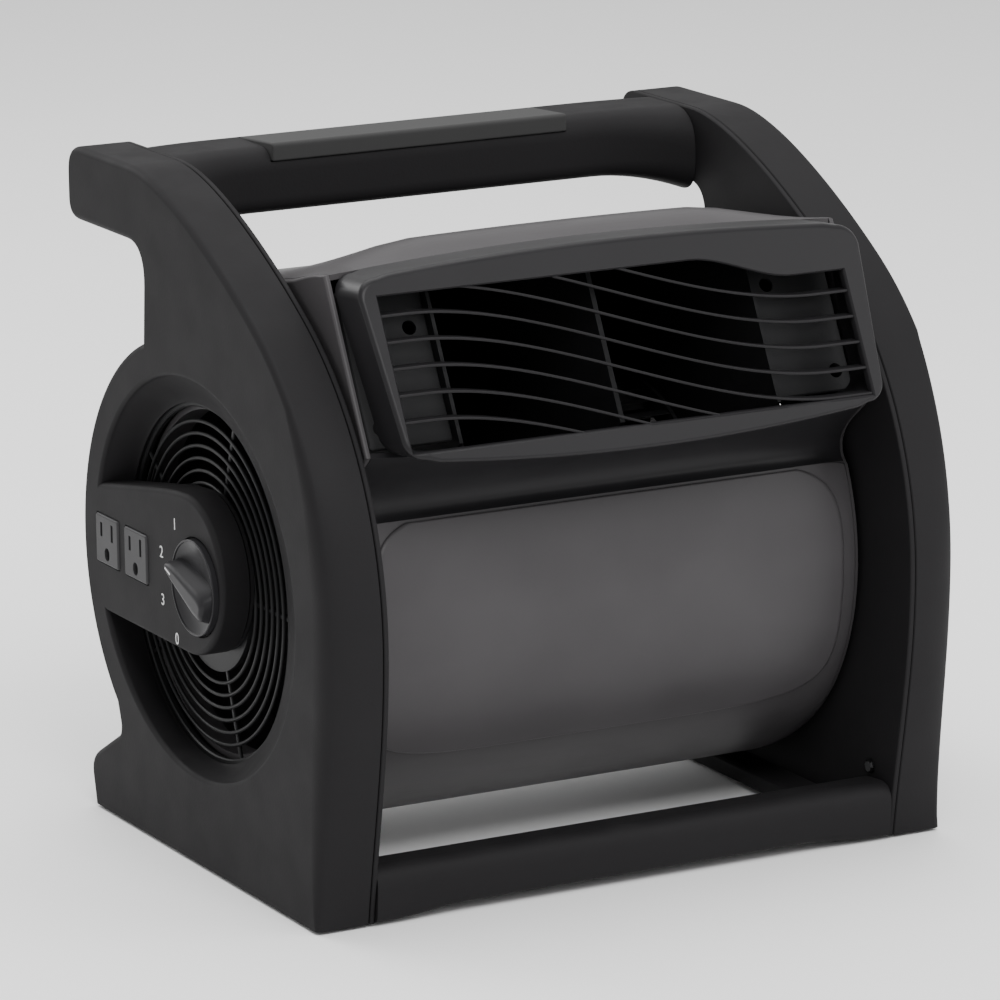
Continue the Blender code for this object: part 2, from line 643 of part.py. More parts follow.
def make_cross_bar(finishes):
    """The front cross bar, its underside arched clear of the floor."""
    end = BAND_X - GAP
    bm = bmesh.new()
    sections = []
    rear = -BAR_FRONT + BAR_DEPTH
    for share, lift in ((-1.0, 0.0), (-0.93, 0.0), (-0.80, 0.0022), (-0.60, 0.003),
                        (0.60, 0.003), (0.80, 0.0022), (0.93, 0.0), (1.0, 0.0)):
        low = FLOOR_LIFT + lift
        outline = rounded([(rear, low), (-BAR_FRONT + 0.002, low), (-BAR_FRONT, BAR_TOP),
                           (rear, BAR_TOP - 0.002), (rear, low)], [0.004, 0.011, 0.004], 4)
        sections.append((share * end, outline[:-1]))
    add_loft(bm, sections)
    bar = make_object("front_cross_bar", bm, finishes["frame_plastic"])
    bm = bmesh.new()
    for side in (-1, 1):
        for place in bar_screw_places():
            add_prism(bm, circle(SCREW_HOLE, 10, place), side * (end + 0.004), side * (end - 0.018))
    combine(bar, "bar_screw_bores", bm)


# ---------------------------------------------------------------- intake and controls
def make_intake_grille(side, finishes):
    """Concentric rings and a domed hub on radial spokes."""
    name = "left" if side < 0 else "right"
    front, back = RECESS_X - 0.0003, RECESS_X - 0.0030
    centre = (0.0, AXIS_Z)
    bm = bmesh.new()
    add_tube(bm, circle(SEAT_RADIUS - 2 * GAP, 28, centre), circle(INTAKE_RADIUS - 0.002, 28, centre),
             side * front, side * back)
    spread = (INTAKE_RADIUS - 0.0085 - RING_INNER_RADIUS) / (RING_COUNT - 1)
    for i in range(RING_COUNT):
        radius = RING_INNER_RADIUS + spread * i
        add_tube(bm, circle(radius + 0.0009, 20, centre), circle(radius - 0.0009, 20, centre),
                 side * (front + 0.0003), side * (back + 0.0006))
    hub = RING_INNER_RADIUS - 0.0052
    dome = 0.0005 if side < 0 else 0.0027       # the control box sits close in front of the left hub
    add_lathe(bm, [(side * back, 0), (side * back, hub), (side * front, hub),
                   (side * (front + 0.6 * dome), 0.86 * hub), (side * (front + 0.9 * dome), 0.5 * hub),
                   (side * (front + dome), 0)], 20, centre)
    grille = make_object(f"{name}_intake_grille", bm, finishes["grille_plastic"])
    spokes = bmesh.new()
    for i in range(SPOKE_COUNT):
        angle = math.tau * (i + 0.5) / SPOKE_COUNT
        along = Vector((math.cos(angle), math.sin(angle)))
        across = Vector((-along.y, along.x)) * 0.0011
        inner, outer = along * (hub - 0.003), along * (INTAKE_RADIUS - 0.0005)
        outline = [inner - across, inner + across, outer + across, outer - across]
        spoke = bmesh.new()
        outline = [(point.x, point.y + AXIS_Z) for point in outline]
        add_prism(spoke, outline, side * (back + 0.0001), side * (back + 0.0016))
        merge_into(spokes, spoke)
    combine(grille, f"{name}_spokes", spokes, "UNION")


def make_outlet(name, y, finishes):
    """A socket outlet with two slots and an earth hole."""
    bm = bmesh.new()
    face = box_outline((y, OUTLET_Z), OUTLET_WIDTH, OUTLET_HEIGHT)
    soft = box_outline((y, OUTLET_Z), OUTLET_WIDTH - 0.0012, OUTLET_HEIGHT - 0.0012)
    add_loft(bm, [(-HALF + 0.0098, face), (-HALF - 0.0004, face), (-HALF - 0.0010, soft)])
    outlet = make_object(name, bm, finishes["outlet_plastic"])
    bm = bmesh.new()
    x0, x1 = -HALF - 0.003, -HALF + 0.006
    for shift, tall in ((-0.0062, 0.0080), (0.0062, 0.0066)):
        add_prism(bm, box_outline((y + shift, OUTLET_Z + 0.0035), 0.0021, tall), x0, x1)
    add_prism(bm, circle(0.0026, 12, (y, OUTLET_Z - 0.0062)), x0, x1)
    combine(outlet, f"{name}_pin_holes", bm)


def make_controls(finishes):
    """Everything behind and in the control tongue."""
    make_outlet("front_outlet", OUTLET_Y, finishes)
    make_outlet("rear_outlet", OUTLET_Y + OUTLET_PITCH, finishes)

    bm = bmesh.new()
    add_prism(bm, tongue_outline(0.0004, INTAKE_RADIUS - 0.009), -TONGUE_FLOOR_X + GAP, -RECESS_X - 0.0006)
    make_object("control_box_cover", bm, finishes["frame_plastic"])

    bm = bmesh.new()
    depth = HALF - WALL - TONGUE_FLOOR_X - 2 * GAP - 0.001
    x0 = -HALF + WALL + GAP
    side_length = 0.020
    add_prism(bm, box_outline((KNOB_Y, KNOB_Z), side_length, side_length), x0, x0 + depth)
    switch = make_object("speed_switch", bm, finishes["electrical_plastic"])
    bm = bmesh.new()
    add_prism(bm, circle(SPINDLE_HOLE, 16, (KNOB_Y, KNOB_Z)), x0 - 0.002, x0 + depth - 0.0025)
    combine(switch, "switch_bore", bm)

    bm = bmesh.new()
    add_lathe(bm, [(-0.010, GLAND_RADIUS), (-0.010, GLAND_BORE), (0.0035, GLAND_BORE), (0.0035, 0.0065),
                   (0.0022, 0.0082), (0.0006, 0.0082), (0.0006, GLAND_RADIUS)], 16)
    turn_to_y(bm, (GLAND_X, BULGE_Y + BULGE_RADIUS, BULGE_Z))
    make_object("cord_gland", bm, finishes["pad_rubber"])

    bm = bmesh.new()
    low = (-HALF + WALL + 0.002, -0.385 * TOP + 0.008, FLOOR_LIFT + WALL + 0.001)
    high = (-RIM_X - 0.001, low[1] + 0.034, low[2] + 0.020)
    add_box(bm, (min(low[0], high[0]), low[1], low[2]), (max(low[0], high[0]), high[1], high[2]))
    make_object("run_capacitor", bm, finishes["electrical_plastic"])


def make_knob(finishes):
    """The speed knob with its raised grip, and the switch spindle it turns."""
    origin = Vector((0.0, KNOB_Y, KNOB_Z))
    centre = (KNOB_Y, KNOB_Z)
    outer = HALF + GAP
    rim = KNOB_HEIGHT * 0.50
    bm = bmesh.new()
    add_lathe(bm, [(-outer, 0), (-outer, KNOB_RADIUS), (-outer - rim * 0.75, KNOB_RADIUS - 0.0006),
                   (-outer - rim, KNOB_RADIUS - 0.0018), (-outer - rim, 0)], 32, centre)
    knob = make_object("speed_knob", bm, finishes["knob_plastic"], origin)
    bm = bmesh.new()
    tilt = math.radians(POINTER_ANGLE)
    along = Vector((math.cos(tilt), math.sin(tilt)))
    across = Vector((-along.y, along.x))
    sections = []
    top = -outer - KNOB_HEIGHT
    for x, half_width, share in ((-outer - rim * 0.6, 0.0052, 0.938), (top + 0.0012, 0.0038, 0.914),
                                 (top, 0.0026, 0.848)):
        reach = along * share * KNOB_RADIUS
        width = across * half_width
        corners = [-reach - width, -reach + width, reach + width, reach - width]
        sections.append((x, [(KNOB_Y + corner.x, KNOB_Z + corner.y) for corner in corners]))
    add_loft(bm, sections)
    combine(knob, "knob_grip", bm, "UNION")
    bm = bmesh.new()
    add_prism(bm, circle(SPINDLE_HOLE, 16, centre), -outer + 0.002, -outer - KNOB_HEIGHT + 0.003)
    combine(knob, "knob_bore", bm)
    bm = bmesh.new()
    bottom = -HALF + WALL + GAP + 0.0045
    add_prism(bm, circle(SPINDLE_RADIUS, 16, centre), bottom, -outer - KNOB_HEIGHT + 0.0035)
    make_object("knob_spindle", bm, finishes["zinc_steel"], origin)


# ---------------------------------------------------------------- drum
def scroll_radius(angle):
    """Scroll radius about the axis from straight down (-90) over the back to straight up (90)."""
    start = math.hypot(DRUM_RADIUS, DRUM_Y)
    share = (angle + 90.0) / 180.0
    return start + (SCROLL_TOP - start) * share ** SCROLL_GROWTH


def nozzle_frame():
    """The nozzle face as (upper edge, direction down the face, direction into the drum)."""
    top = Vector((NOZZLE_TOP_Y, NOZZLE_TOP_Z))
    down = Vector((NOZZLE_LOW_Y, NOZZLE_LOW_Z)) - top
    length = down.length
    down.normalize()
    return top, down, Vector((-down.y, down.x)), length


def nozzle_rear_edges():
    """Upper and lower edge of the plane where the drum ends and the nozzle piece starts."""
    top, down, _, length = nozzle_frame()
    return top + NOZZLE_BACK, top + down * length + NOZZLE_BACK


def drum_outline():
    """Drum side view, clockwise: recess and front up to the nozzle last, so it starts at the bottom.

    Returns the front part (bottom to nozzle) and the rear part (nozzle top back to the bottom).
    """
    upper, lower = nozzle_rear_edges()
    centre = (DRUM_Y, AXIS_Z)
    front = arc(centre, DRUM_RADIUS, SEAM_ANGLE, 180.0 - DRUM_TOP_ANGLE, 15)
    corner = front[-1]
    recess = bezier(corner, (corner[0] + 0.012, corner[1] + 0.007), (lower.x + 0.013, lower.y - 0.013),
                    (lower.x, lower.y), 7)
    crest = (0.0, AXIS_Z + SCROLL_TOP)
    top = bezier((upper.x, upper.y), (upper.x + 0.036, upper.y - 0.0035), (-0.030, crest[1] + 0.0045),
                 crest, 8)
    rear = []
    for i in range(1, 16):
        angle = 90.0 - 180.0 * i / 15
        radius = scroll_radius(angle)
        rear.append((radius * math.cos(math.radians(angle)), AXIS_Z + radius * math.sin(math.radians(angle))))
    tail = arc(centre, DRUM_RADIUS, 270.0, SEAM_ANGLE + math.degrees(GAP / DRUM_RADIUS), 4)
    return front + recess[1:], top + rear + tail[1:]


def whole_drum():
    """The drum's closed side view."""
    front, rear = drum_outline()
    return front + rear


def bowed(points, x, half):
    """Swell the outline near the nozzle towards the middle of the width."""
    upper, lower = nozzle_rear_edges()
    _, down, _, _ = nozzle_frame()
    share = max(1.0 - (x / half) ** 2, 0.0)
    result = []
    for y, z in points:
        near_top = max(0.0, 1.0 - math.hypot(y - upper.x, z - upper.y) / (0.30 * TOP)) ** 1.5
        near_low = max(0.0, 1.0 - math.hypot(y - lower.x, z - lower.y) / (0.085 * TOP)) ** 1.5
        shift = 0.0
        if near_top > 0 and z > lower.y + 0.5 * (upper.y - lower.y):
            shift = -SHELL_TOP_BOW * share * near_top
        elif near_low > 0:
            shift = SHELL_LOW_BOW * share * near_low
        result.append((y + down.x * shift, z + down.y * shift))
    return result


def strip(points, thickness):
    """An open outline thickened inward to a closed one."""
    inner = inset(points, thickness, closed=False)
    return points + inner[::-1]


def make_shells(finishes):
    """Front and rear drum shells; the front one carries a slightly raised panel."""
    front, rear = drum_outline()
    stations = [SHELL_X * share for share in (-1.0, -0.6, 0.0, 0.6, 1.0)]
    for name, points in (("drum_front_shell", front), ("drum_rear_shell", rear)):
        bm = bmesh.new()
        add_loft(bm, [(x, strip(bowed(points, x, SHELL_X), SHELL_WALL)) for x in stations])
        shell = make_object(name, bm, finishes["drum_plastic"], AXIS)
        if name == "drum_front_shell":
            combine(shell, "front_panel", panel_solid(), "UNION")


def panel_solid():
    """The raised front panel: a soft-cornered patch wrapped on the drum."""
    half_x = 0.945 * SHELL_X
    rings, count, power = 3, 40, 0.364
    bm = bmesh.new()
    layers = []
    for radius in (DRUM_RADIUS - 0.0012, DRUM_RADIUS + PANEL_RISE):
        shells = []
        for k in range(rings + 1):
            size = 1.0 - k / rings
            turns = [math.tau * i / count for i in range(count)] if k < rings else [0.0]
            ring = []
            for turn in turns:
                across = math.copysign(abs(math.cos(turn)) ** power, math.cos(turn))
                along = math.copysign(abs(math.sin(turn)) ** power, math.sin(turn))
                angle = PANEL_MIDDLE + PANEL_HALF * along
                angle = math.radians(min(angle, DRUM_TOP_ANGLE - 0.8) * size + PANEL_MIDDLE * (1.0 - size))
                ring.append(bm.verts.new((half_x * across * size, DRUM_Y - radius * math.cos(angle),
                                          AXIS_Z + radius * math.sin(angle))))
            shells.append(ring)
        layers.append(shells)
    for shells in layers:
        for a, b in zip(shells[:-2], shells[1:-1]):
            join_rings(bm, a, b)
        for i in range(count):
            bm.faces.new((shells[-2][i], shells[-2][(i + 1) % count], shells[-1][0]))
    join_rings(bm, layers[0][0], layers[1][0])
    return bm


def make_end_plates(finishes):
    """The drum's end plates with the journals that turn in the frames."""
    outline = whole_drum()
    for side, name in ((-1, "left"), (1, "right")):
        bm = bmesh.new()
        x1 = DRUM_END_X
        sections = [(x1 - END_PLATE, outline), (x1 - 0.0014, outline), (x1 - 0.0004, inset(outline, 0.0005)),
                    (x1, inset(outline, 0.0014))]
        add_loft(bm, [(side * x, points) for x, points in sections])
        plate = make_object(f"{name}_end_plate", bm, finishes["drum_plastic"], AXIS)
        bm = bmesh.new()
        add_prism(bm, circle(JOURNAL_RADIUS, 40, (0.0, AXIS_Z)), side * (x1 - 0.0012), side * JOURNAL_X)
        combine(plate, f"{name}_journal", bm, "UNION")
        bm = bmesh.new()
        bore = circle(JOURNAL_BORE, 32, (0.0, AXIS_Z))
        add_prism(bm, bore, side * (x1 - 0.010), side * (JOURNAL_X + 0.005))
        combine(plate, f"{name}_journal_bore", bm)


def make_friction_rings(finishes):
    """The felt ring squeezed between each frame and the drum, which holds the set angle."""
    for side, name in ((-1, "left"), (1, "right")):
        bm = bmesh.new()
        centre = (0.0, AXIS_Z)
        inner = PIVOT_HOLE + 0.004
        add_tube(bm, circle(inner + 0.012, 32, centre), circle(inner, 32, centre), side * (BAND_X - GAP),
                 side * (DRUM_END_X + GAP))
        make_object(f"{name}_friction_ring", bm, finishes["friction_felt"])


def inside_outline(margin):
    """The drum's side view pulled in past its wall."""
    return inset(whole_drum(), SHELL_WALL + margin)


def face_point(across, depth):
    """Side-view point at a distance down the nozzle face and behind it."""
    top, down, into, _ = nozzle_frame()
    point = top + down * across + into * depth
    return (point.x, point.y)


def make_scroll_plates(finishes):
    """The plate beside each wheel, with its flared inlet."""
    centre = (0.0, AXIS_Z)
    for side, name in ((-1, "left"), (1, "right")):
        bm = bmesh.new()
        x0, x1 = SCROLL_PLATE_X, SCROLL_PLATE_X + 0.0018
        add_prism(bm, inside_outline(GAP), side * x0, side * x1)
        plate = make_object(f"{name}_scroll_plate", bm, finishes["wheel_plastic"], AXIS)
        bm = bmesh.new()
        add_lathe(bm, [(side * (x0 + 0.0006), 0), (side * (x0 + 0.0006), INLET_RADIUS + 0.0022),
                       (side * (x1 + 0.0035), INLET_RADIUS + 0.0042), (side * (x1 + 0.0035), 0)], 28, centre)
        combine(plate, f"{name}_inlet_flare", bm, "UNION")
        bm = bmesh.new()
        add_lathe(bm, [(side * (x0 - 0.004), 0), (side * (x0 - 0.004), INLET_RADIUS),
                       (side * x1, INLET_RADIUS), (side * (x1 + 0.0045), INLET_RADIUS + 0.0026),
                       (side * (x1 + 0.0045), 0)], 28, centre)
        combine(plate, f"{name}_inlet_hole", bm)


def add_face_hole(bm, x, across, depth, radius):
    """Add a round cutter square to the nozzle face."""
    _, down, into, _ = nozzle_frame()
    middle = face_point(across, depth)
    count, half_length = 14, 0.004
    rings = []
    for reach in (-half_length, half_length):
        ring = []
        for i in range(count):
            angle = math.tau * i / count
            run = radius * math.sin(angle)
            ring.append(bm.verts.new((x + radius * math.cos(angle), middle[0] + down.x * run + into.x * reach,
                                      middle[1] + down.y * run + into.y * reach)))
        rings.append(ring)
    join_rings(bm, rings[0], rings[1])
    bm.faces.new(rings[0])
    bm.faces.new(rings[1])


def make_baffles(finishes):
    """The grey panel that closes each end of the outlet behind the louvres."""
    _, _, _, length = nozzle_frame()
    depth = NOZZLE_DEPTH + 0.0055
    outline = [face_point(-0.0035, depth), face_point(-0.0035, depth + 0.002),
               face_point(length - 0.014, depth + 0.002), face_point(length - 0.014, depth)]
    for side, name in ((-1, "left"), (1, "right")):
        bm = bmesh.new()
        add_prism(bm, outline, side * (SCROLL_PLATE_X + 0.0018 + GAP), side * (SHELL_X - 0.004))
        baffle = make_object(f"{name}_outlet_baffle", bm, finishes["baffle_plastic"], AXIS)
        bm = bmesh.new()
        for x, across in ((SCROLL_PLATE_X + 0.009, 0.20 * length), (SHELL_X - 0.011, 0.72 * length)):
            add_face_hole(bm, side * x, across, depth + 0.001, 0.0034)
        combine(baffle, f"{name}_baffle_holes", bm)


# ---------------------------------------------------------------- nozzle
def nozzle_edge(x, low):
    """Distance down the face of the nozzle's outline at one x: bowed top or bowed bottom edge."""
    _, _, _, length = nozzle_frame()
    if low:
        return length + NOZZLE_LOW_BOW * (1.0 - (x / NOZZLE_HALF_LOW) ** 2)
    return -NOZZLE_TOP_BOW * (1.0 - (x / NOZZLE_HALF_TOP) ** 2)


def nozzle_reach():
    """How far ahead of the axis the nozzle's lower lip stands."""
    top, down, _, _ = nozzle_frame()
    return -(top.x + down.x * (nozzle_edge(0.0, True) - NOZZLE_CHAMFER))


def nozzle_outline(margin, corner=0.010):
    """The nozzle's front outline as (x, distance down the face)."""
    _, _, _, length = nozzle_frame()
    top_half, low_half = NOZZLE_HALF_TOP - margin, NOZZLE_HALF_LOW - margin
    steps = 5
    turn = [corner * (1 - math.sin(math.pi / 2 * k / steps)) for k in range(steps + 1)]
    back = turn[::-1]
    shares = [-1 + 2 * k / 10 for k in range(1, 10)]
    ordered = [(-top_half + far, margin + near) for far, near in zip(back, turn)]
    ordered += [(x, nozzle_edge(x, False) + margin) for x in ((top_half - corner) * s for s in shares)]
    ordered += [(top_half - near, margin + far) for near, far in zip(turn, back)]
    ordered += [(low_half - far, length - margin - near) for far, near in zip(back, turn)]
    ordered += [(x, nozzle_edge(x, True) - margin) for x in ((corner - low_half) * s for s in shares)]
    ordered += [(-low_half + near, length - margin - far) for near, far in zip(turn, back)]
    return ordered


def nozzle_ring(bm, outline, depth):
    """Place a front outline at a depth behind the face, sliding along the nozzle's own direction."""
    top, down, _, _ = nozzle_frame()
    back = NOZZLE_BACK.normalized() * depth
    return [bm.verts.new((x, top.x + down.x * w + back.x, top.y + down.y * w + back.y)) for x, w in outline]


def add_nozzle_loft(bm, sections):
    """Closed solid through (depth, front outline) sections."""
    rings = [nozzle_ring(bm, outline, depth) for depth, outline in sections]
    for a, b in zip(rings, rings[1:]):
        join_rings(bm, a, b)
    bm.faces.new(rings[0])
    bm.faces.new(rings[-1])


def louvre_fall(x):
    """How far a louvre has fallen at x: flat, then a smooth drop, then flat."""
    share = min(max((x / NOZZLE_HALF_TOP + 0.83) / 1.60, 0.0), 1.0)
    return LOUVRE_DROP * share * share * (3 - 2 * share)


def opening_top(x):
    """Upper edge of the outlet opening, which steps down towards the right."""
    share = min(max((x / NOZZLE_HALF_TOP - 0.30) / 0.40, 0.0), 1.0)
    return LOUVRE_TOP + 0.0125 * share * share * (3 - 2 * share)


def opening_low():
    """Lower edge of the outlet opening."""
    _, _, _, length = nozzle_frame()
    return length - LOUVRE_LOW


def make_nozzle(finishes):
    """The nozzle piece: a proud frame with S-shaped louvres across its opening."""
    bm = bmesh.new()
    add_nozzle_loft(bm, [(0.0, nozzle_outline(NOZZLE_CHAMFER, 0.0085)),
                         (0.0009, nozzle_outline(0.0006, 0.0095)), (0.0026, nozzle_outline(0.0)),
                         (NOZZLE_DEPTH - GAP, nozzle_outline(0.0))])
    nozzle = make_object("nozzle_grille", bm, finishes["nozzle_plastic"], AXIS)
    bm = bmesh.new()
    inside = nozzle_outline(WALL, 0.008)
    add_nozzle_loft(bm, [(0.0045, inside), (NOZZLE_DEPTH + 0.004, inside)])
    combine(nozzle, "nozzle_space", bm)

    left, right = LOUVRE_LEFT * NOZZLE_HALF_TOP, LOUVRE_RIGHT * NOZZLE_HALF_TOP
    steps = 20
    xs = [left + (right - left) * i / steps for i in range(steps + 1)]
    outline = [(x, opening_top(x)) for x in xs] + [(x, opening_low()) for x in xs[::-1]]
    bm = bmesh.new()
    add_nozzle_loft(bm, [(-0.004, outline), (0.009, outline)])
    combine(nozzle, "nozzle_opening", bm)

    bm = bmesh.new()
    for i in range(LOUVRE_COUNT):
        start = LOUVRE_TOP + 0.0090 + LOUVRE_PITCH * (i - 3)
        line = []
        fine = 60
        for k in range(fine + 1):
            x = left - 0.0012 + (right - left + 0.0024) * k / fine
            w = start + louvre_fall(x)
            if opening_top(x) - 0.0013 <= w <= opening_low() + 0.0010:
                line.append((x, w))
        if len(line) < 8:
            continue
        keep = max(1, len(line) // 13)
        line = line[::keep] + ([line[-1]] if (len(line) - 1) % keep else [])
        louvre = bmesh.new()
        half = LOUVRE_THICK / 2
        outline = [(x, w - half) for x, w in line] + [(x, w + half) for x, w in line[::-1]]
        add_nozzle_loft(louvre, [(0.0008, outline), (LOUVRE_DEPTH, outline)])
        merge_into(bm, louvre)
    combine(nozzle, "louvres", bm, "UNION")


# ---------------------------------------------------------------- motor and wheels
def make_motor(finishes):
    """Motor held by its middle in an upright plate across the drum."""
    centre = (0.0, AXIS_Z)
    bm = bmesh.new()
    add_prism(bm, inside_outline(GAP), -0.0012, 0.0012)
    plate = make_object("motor_mount_plate", bm, finishes["wheel_plastic"], AXIS)
    bm = bmesh.new()
    add_prism(bm, circle(MOTOR_RADIUS + GAP, 28, centre), -0.006, 0.006)
    combine(plate, "motor_seat", bm)

    core = 0.45 * MOTOR_HALF_LENGTH
    rotor_radius = 0.62 * MOTOR_RADIUS
    bm = bmesh.new()
    add_tube(bm, circle(MOTOR_RADIUS, 28, centre), circle(rotor_radius + 0.0006, 28, centre), -core, core)
    make_object("stator_core", bm, finishes["core_steel"], AXIS)

    for side, name in ((-1, "left"), (1, "right")):
        bm = bmesh.new()
        x0, x1 = core + GAP, MOTOR_HALF_LENGTH
        seat = BEARING_RADIUS + GAP / 2
        profile = [(x0, MOTOR_RADIUS - 0.0020), (x0, MOTOR_RADIUS), (x1 - 0.004, MOTOR_RADIUS),
                   (x1, MOTOR_RADIUS - 0.004), (x1, seat), (x1 - 0.006, seat), (x1 - 0.006, seat + 0.003),
                   (x1 - 0.0025, seat + 0.003), (x1 - 0.0025, MOTOR_RADIUS - 0.0055),
                   (x1 - 0.0055, MOTOR_RADIUS - 0.0020)]
        add_lathe(bm, [(side * x, r) for x, r in profile], 24, centre)
        make_object(f"{name}_motor_cap", bm, finishes["cap_aluminium"], AXIS)
        bm = bmesh.new()
        add_tube(bm, circle(BEARING_RADIUS, 24, centre), circle(SHAFT_RADIUS + RUN_GAP, 24, centre),
                 side * (x1 - 0.0057), side * (x1 - 0.0003))
        make_object(f"{name}_bearing", bm, finishes["core_steel"], AXIS)

    bm = bmesh.new()
    add_prism(bm, circle(SHAFT_RADIUS, 24, centre), -SHAFT_END_X, SHAFT_END_X)
    make_object("motor_shaft", bm, finishes["zinc_steel"], AXIS)
    bm = bmesh.new()
    add_tube(bm, circle(rotor_radius, 28, centre), circle(SHAFT_RADIUS + GAP, 28, centre),
             -core + 0.001, core - 0.001)
    make_object("motor_rotor", bm, finishes["core_steel"], AXIS)


def blade_outline(angle):
    """One forward-curved blade in the side view."""
    points = []
    last = 2
    half_thick = 0.0005
    inner, outer = WHEEL_INNER + 0.0006, WHEEL_RADIUS - 0.0006
    for k in range(last + 1):
        share = k / last
        radius = inner + (outer - inner) * share
        turn = angle + 0.16 * share * share
        points.append(Vector((radius * math.cos(turn), radius * math.sin(turn))))
    result = []
    for sign in (1, -1):
        row = []
        for k, point in enumerate(points):
            ahead = points[min(k + 1, last)] - points[max(k - 1, 0)]
            normal = Vector((-ahead.y, ahead.x)).normalized() * half_thick * sign
            row.append((point.x + normal.x, AXIS_Z + point.y + normal.y))
        result += row[::sign]
    return result


def make_wheels(finishes):
    """The two squirrel-cage wheels on the motor shaft."""
    centre = (0.0, AXIS_Z)
    for side, name in ((-1, "left"), (1, "right")):
        x0, x1 = WHEEL_START_X, WHEEL_END_X
        bm = bmesh.new()
        bore = SHAFT_RADIUS + GAP / 2
        add_lathe(bm, [(side * x, r) for x, r in (
            (x0, bore), (x0, WHEEL_RADIUS), (x0 + 0.002, WHEEL_RADIUS), (x0 + 0.002, HUB_RADIUS),
            (x0 + 0.016, HUB_RADIUS), (x0 + 0.016, bore))], 32, centre)
        add_tube(bm, circle(WHEEL_RADIUS, 32, centre), circle(WHEEL_INNER, 32, centre),
                 side * (x1 - 0.002), side * x1)
        wheel = make_object(f"{name}_blower_wheel", bm, finishes["wheel_plastic"], AXIS)
        blades = bmesh.new()
        for i in range(BLADE_COUNT):
            blade = bmesh.new()
            outline = blade_outline(math.tau * i / BLADE_COUNT)
            add_prism(blade, outline, side * (x0 + 0.001), side * (x1 - 0.001))
            merge_into(blades, blade)
        combine(wheel, f"{name}_blades", blades, "UNION")


CENTRE_X = -KNOB_REACH / 2        # middle of the whole part, which becomes the origin
CENTRE_Y = (max(y for y, _ in whole_drum()) - max(FRAME_FRONT, nozzle_reach())) / 2


def main():
    """Build every piece."""
    for obj in list(bpy.data.objects):
        bpy.data.objects.remove(obj, do_unlink=True)
    finishes = make_materials()
    for side in (-1, 1):
        frame = make_side_frame(side, finishes)
        if side < 0:
            add_control_tongue(frame)
        make_inner_cover(side, finishes)
        make_foot_pads(side, finishes)
        make_frame_screws(side, finishes)
        make_intake_grille(side, finishes)
    make_handle_bar(finishes)
    make_handle_grip(finishes)
    make_cross_bar(finishes)
    make_controls(finishes)
    make_knob(finishes)
    make_shells(finishes)
    make_end_plates(finishes)
    make_friction_rings(finishes)
    make_scroll_plates(finishes)
    make_baffles(finishes)
    make_nozzle(finishes)
    make_motor(finishes)
    make_wheels(finishes)


main()
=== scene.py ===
"""Looks of a pivoting twin-inlet utility blower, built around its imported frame.

Two side frames, joined by a handle bar and a front cross bar, carry a drum that blows out through a
louvred nozzle. Side views are drawn as (y, z) with the drum axis at y = 0 and the floor at z = 0.
"""

import json
import logging
import math
from dataclasses import dataclass
from enum import Enum
from typing import Iterable, Sequence

import bmesh
import bpy
from mathutils import Matrix, Vector


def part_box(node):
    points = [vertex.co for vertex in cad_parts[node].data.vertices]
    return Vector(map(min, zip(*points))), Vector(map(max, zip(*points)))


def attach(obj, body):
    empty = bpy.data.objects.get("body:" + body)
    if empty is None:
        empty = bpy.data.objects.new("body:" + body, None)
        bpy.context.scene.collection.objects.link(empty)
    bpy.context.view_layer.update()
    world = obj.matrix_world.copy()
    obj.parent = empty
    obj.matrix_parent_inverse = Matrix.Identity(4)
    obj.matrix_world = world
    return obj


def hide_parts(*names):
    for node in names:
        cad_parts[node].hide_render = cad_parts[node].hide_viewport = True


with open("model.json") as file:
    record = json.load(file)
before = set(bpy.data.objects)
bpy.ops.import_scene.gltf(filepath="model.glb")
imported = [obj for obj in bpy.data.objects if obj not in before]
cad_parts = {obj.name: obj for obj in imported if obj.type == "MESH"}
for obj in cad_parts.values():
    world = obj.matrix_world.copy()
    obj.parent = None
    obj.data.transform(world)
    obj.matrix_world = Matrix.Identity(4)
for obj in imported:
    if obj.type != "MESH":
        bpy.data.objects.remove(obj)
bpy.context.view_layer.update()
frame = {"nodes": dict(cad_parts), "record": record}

LOG = logging.getLogger("blower")
QUARTER_TURN = math.pi / 2
WELD = 1e-6             # points closer than this count as one
Point = tuple[float, float]
Outline = list[Point]


class Body(Enum):
    """The bodies that pieces ride on."""

    FRAME = "frame"
    HEAD = "blower_head"
    IMPELLER = "impeller"
    KNOB = "knob"


class Side(Enum):
    """The two ends of the drum, as the sign of x."""

    LEFT = -1
    RIGHT = 1

    @property
    def label(self) -> str:
        """The side's name as pieces spell it."""
        return self.name.lower()


# ---------------------------------------------------------------- sizes
GAP = 0.0003                 # clearance between pieces that sit in one another
FOOT_RAIL_WIDTH = 0.0165     # how far the foot rails stand inside the frames' inner faces
END_PLATE_REACH = 0.0028     # how far the end plates stand outside the shells' ends
BAR_DEPTH = 0.026            # front to back of the cross bar


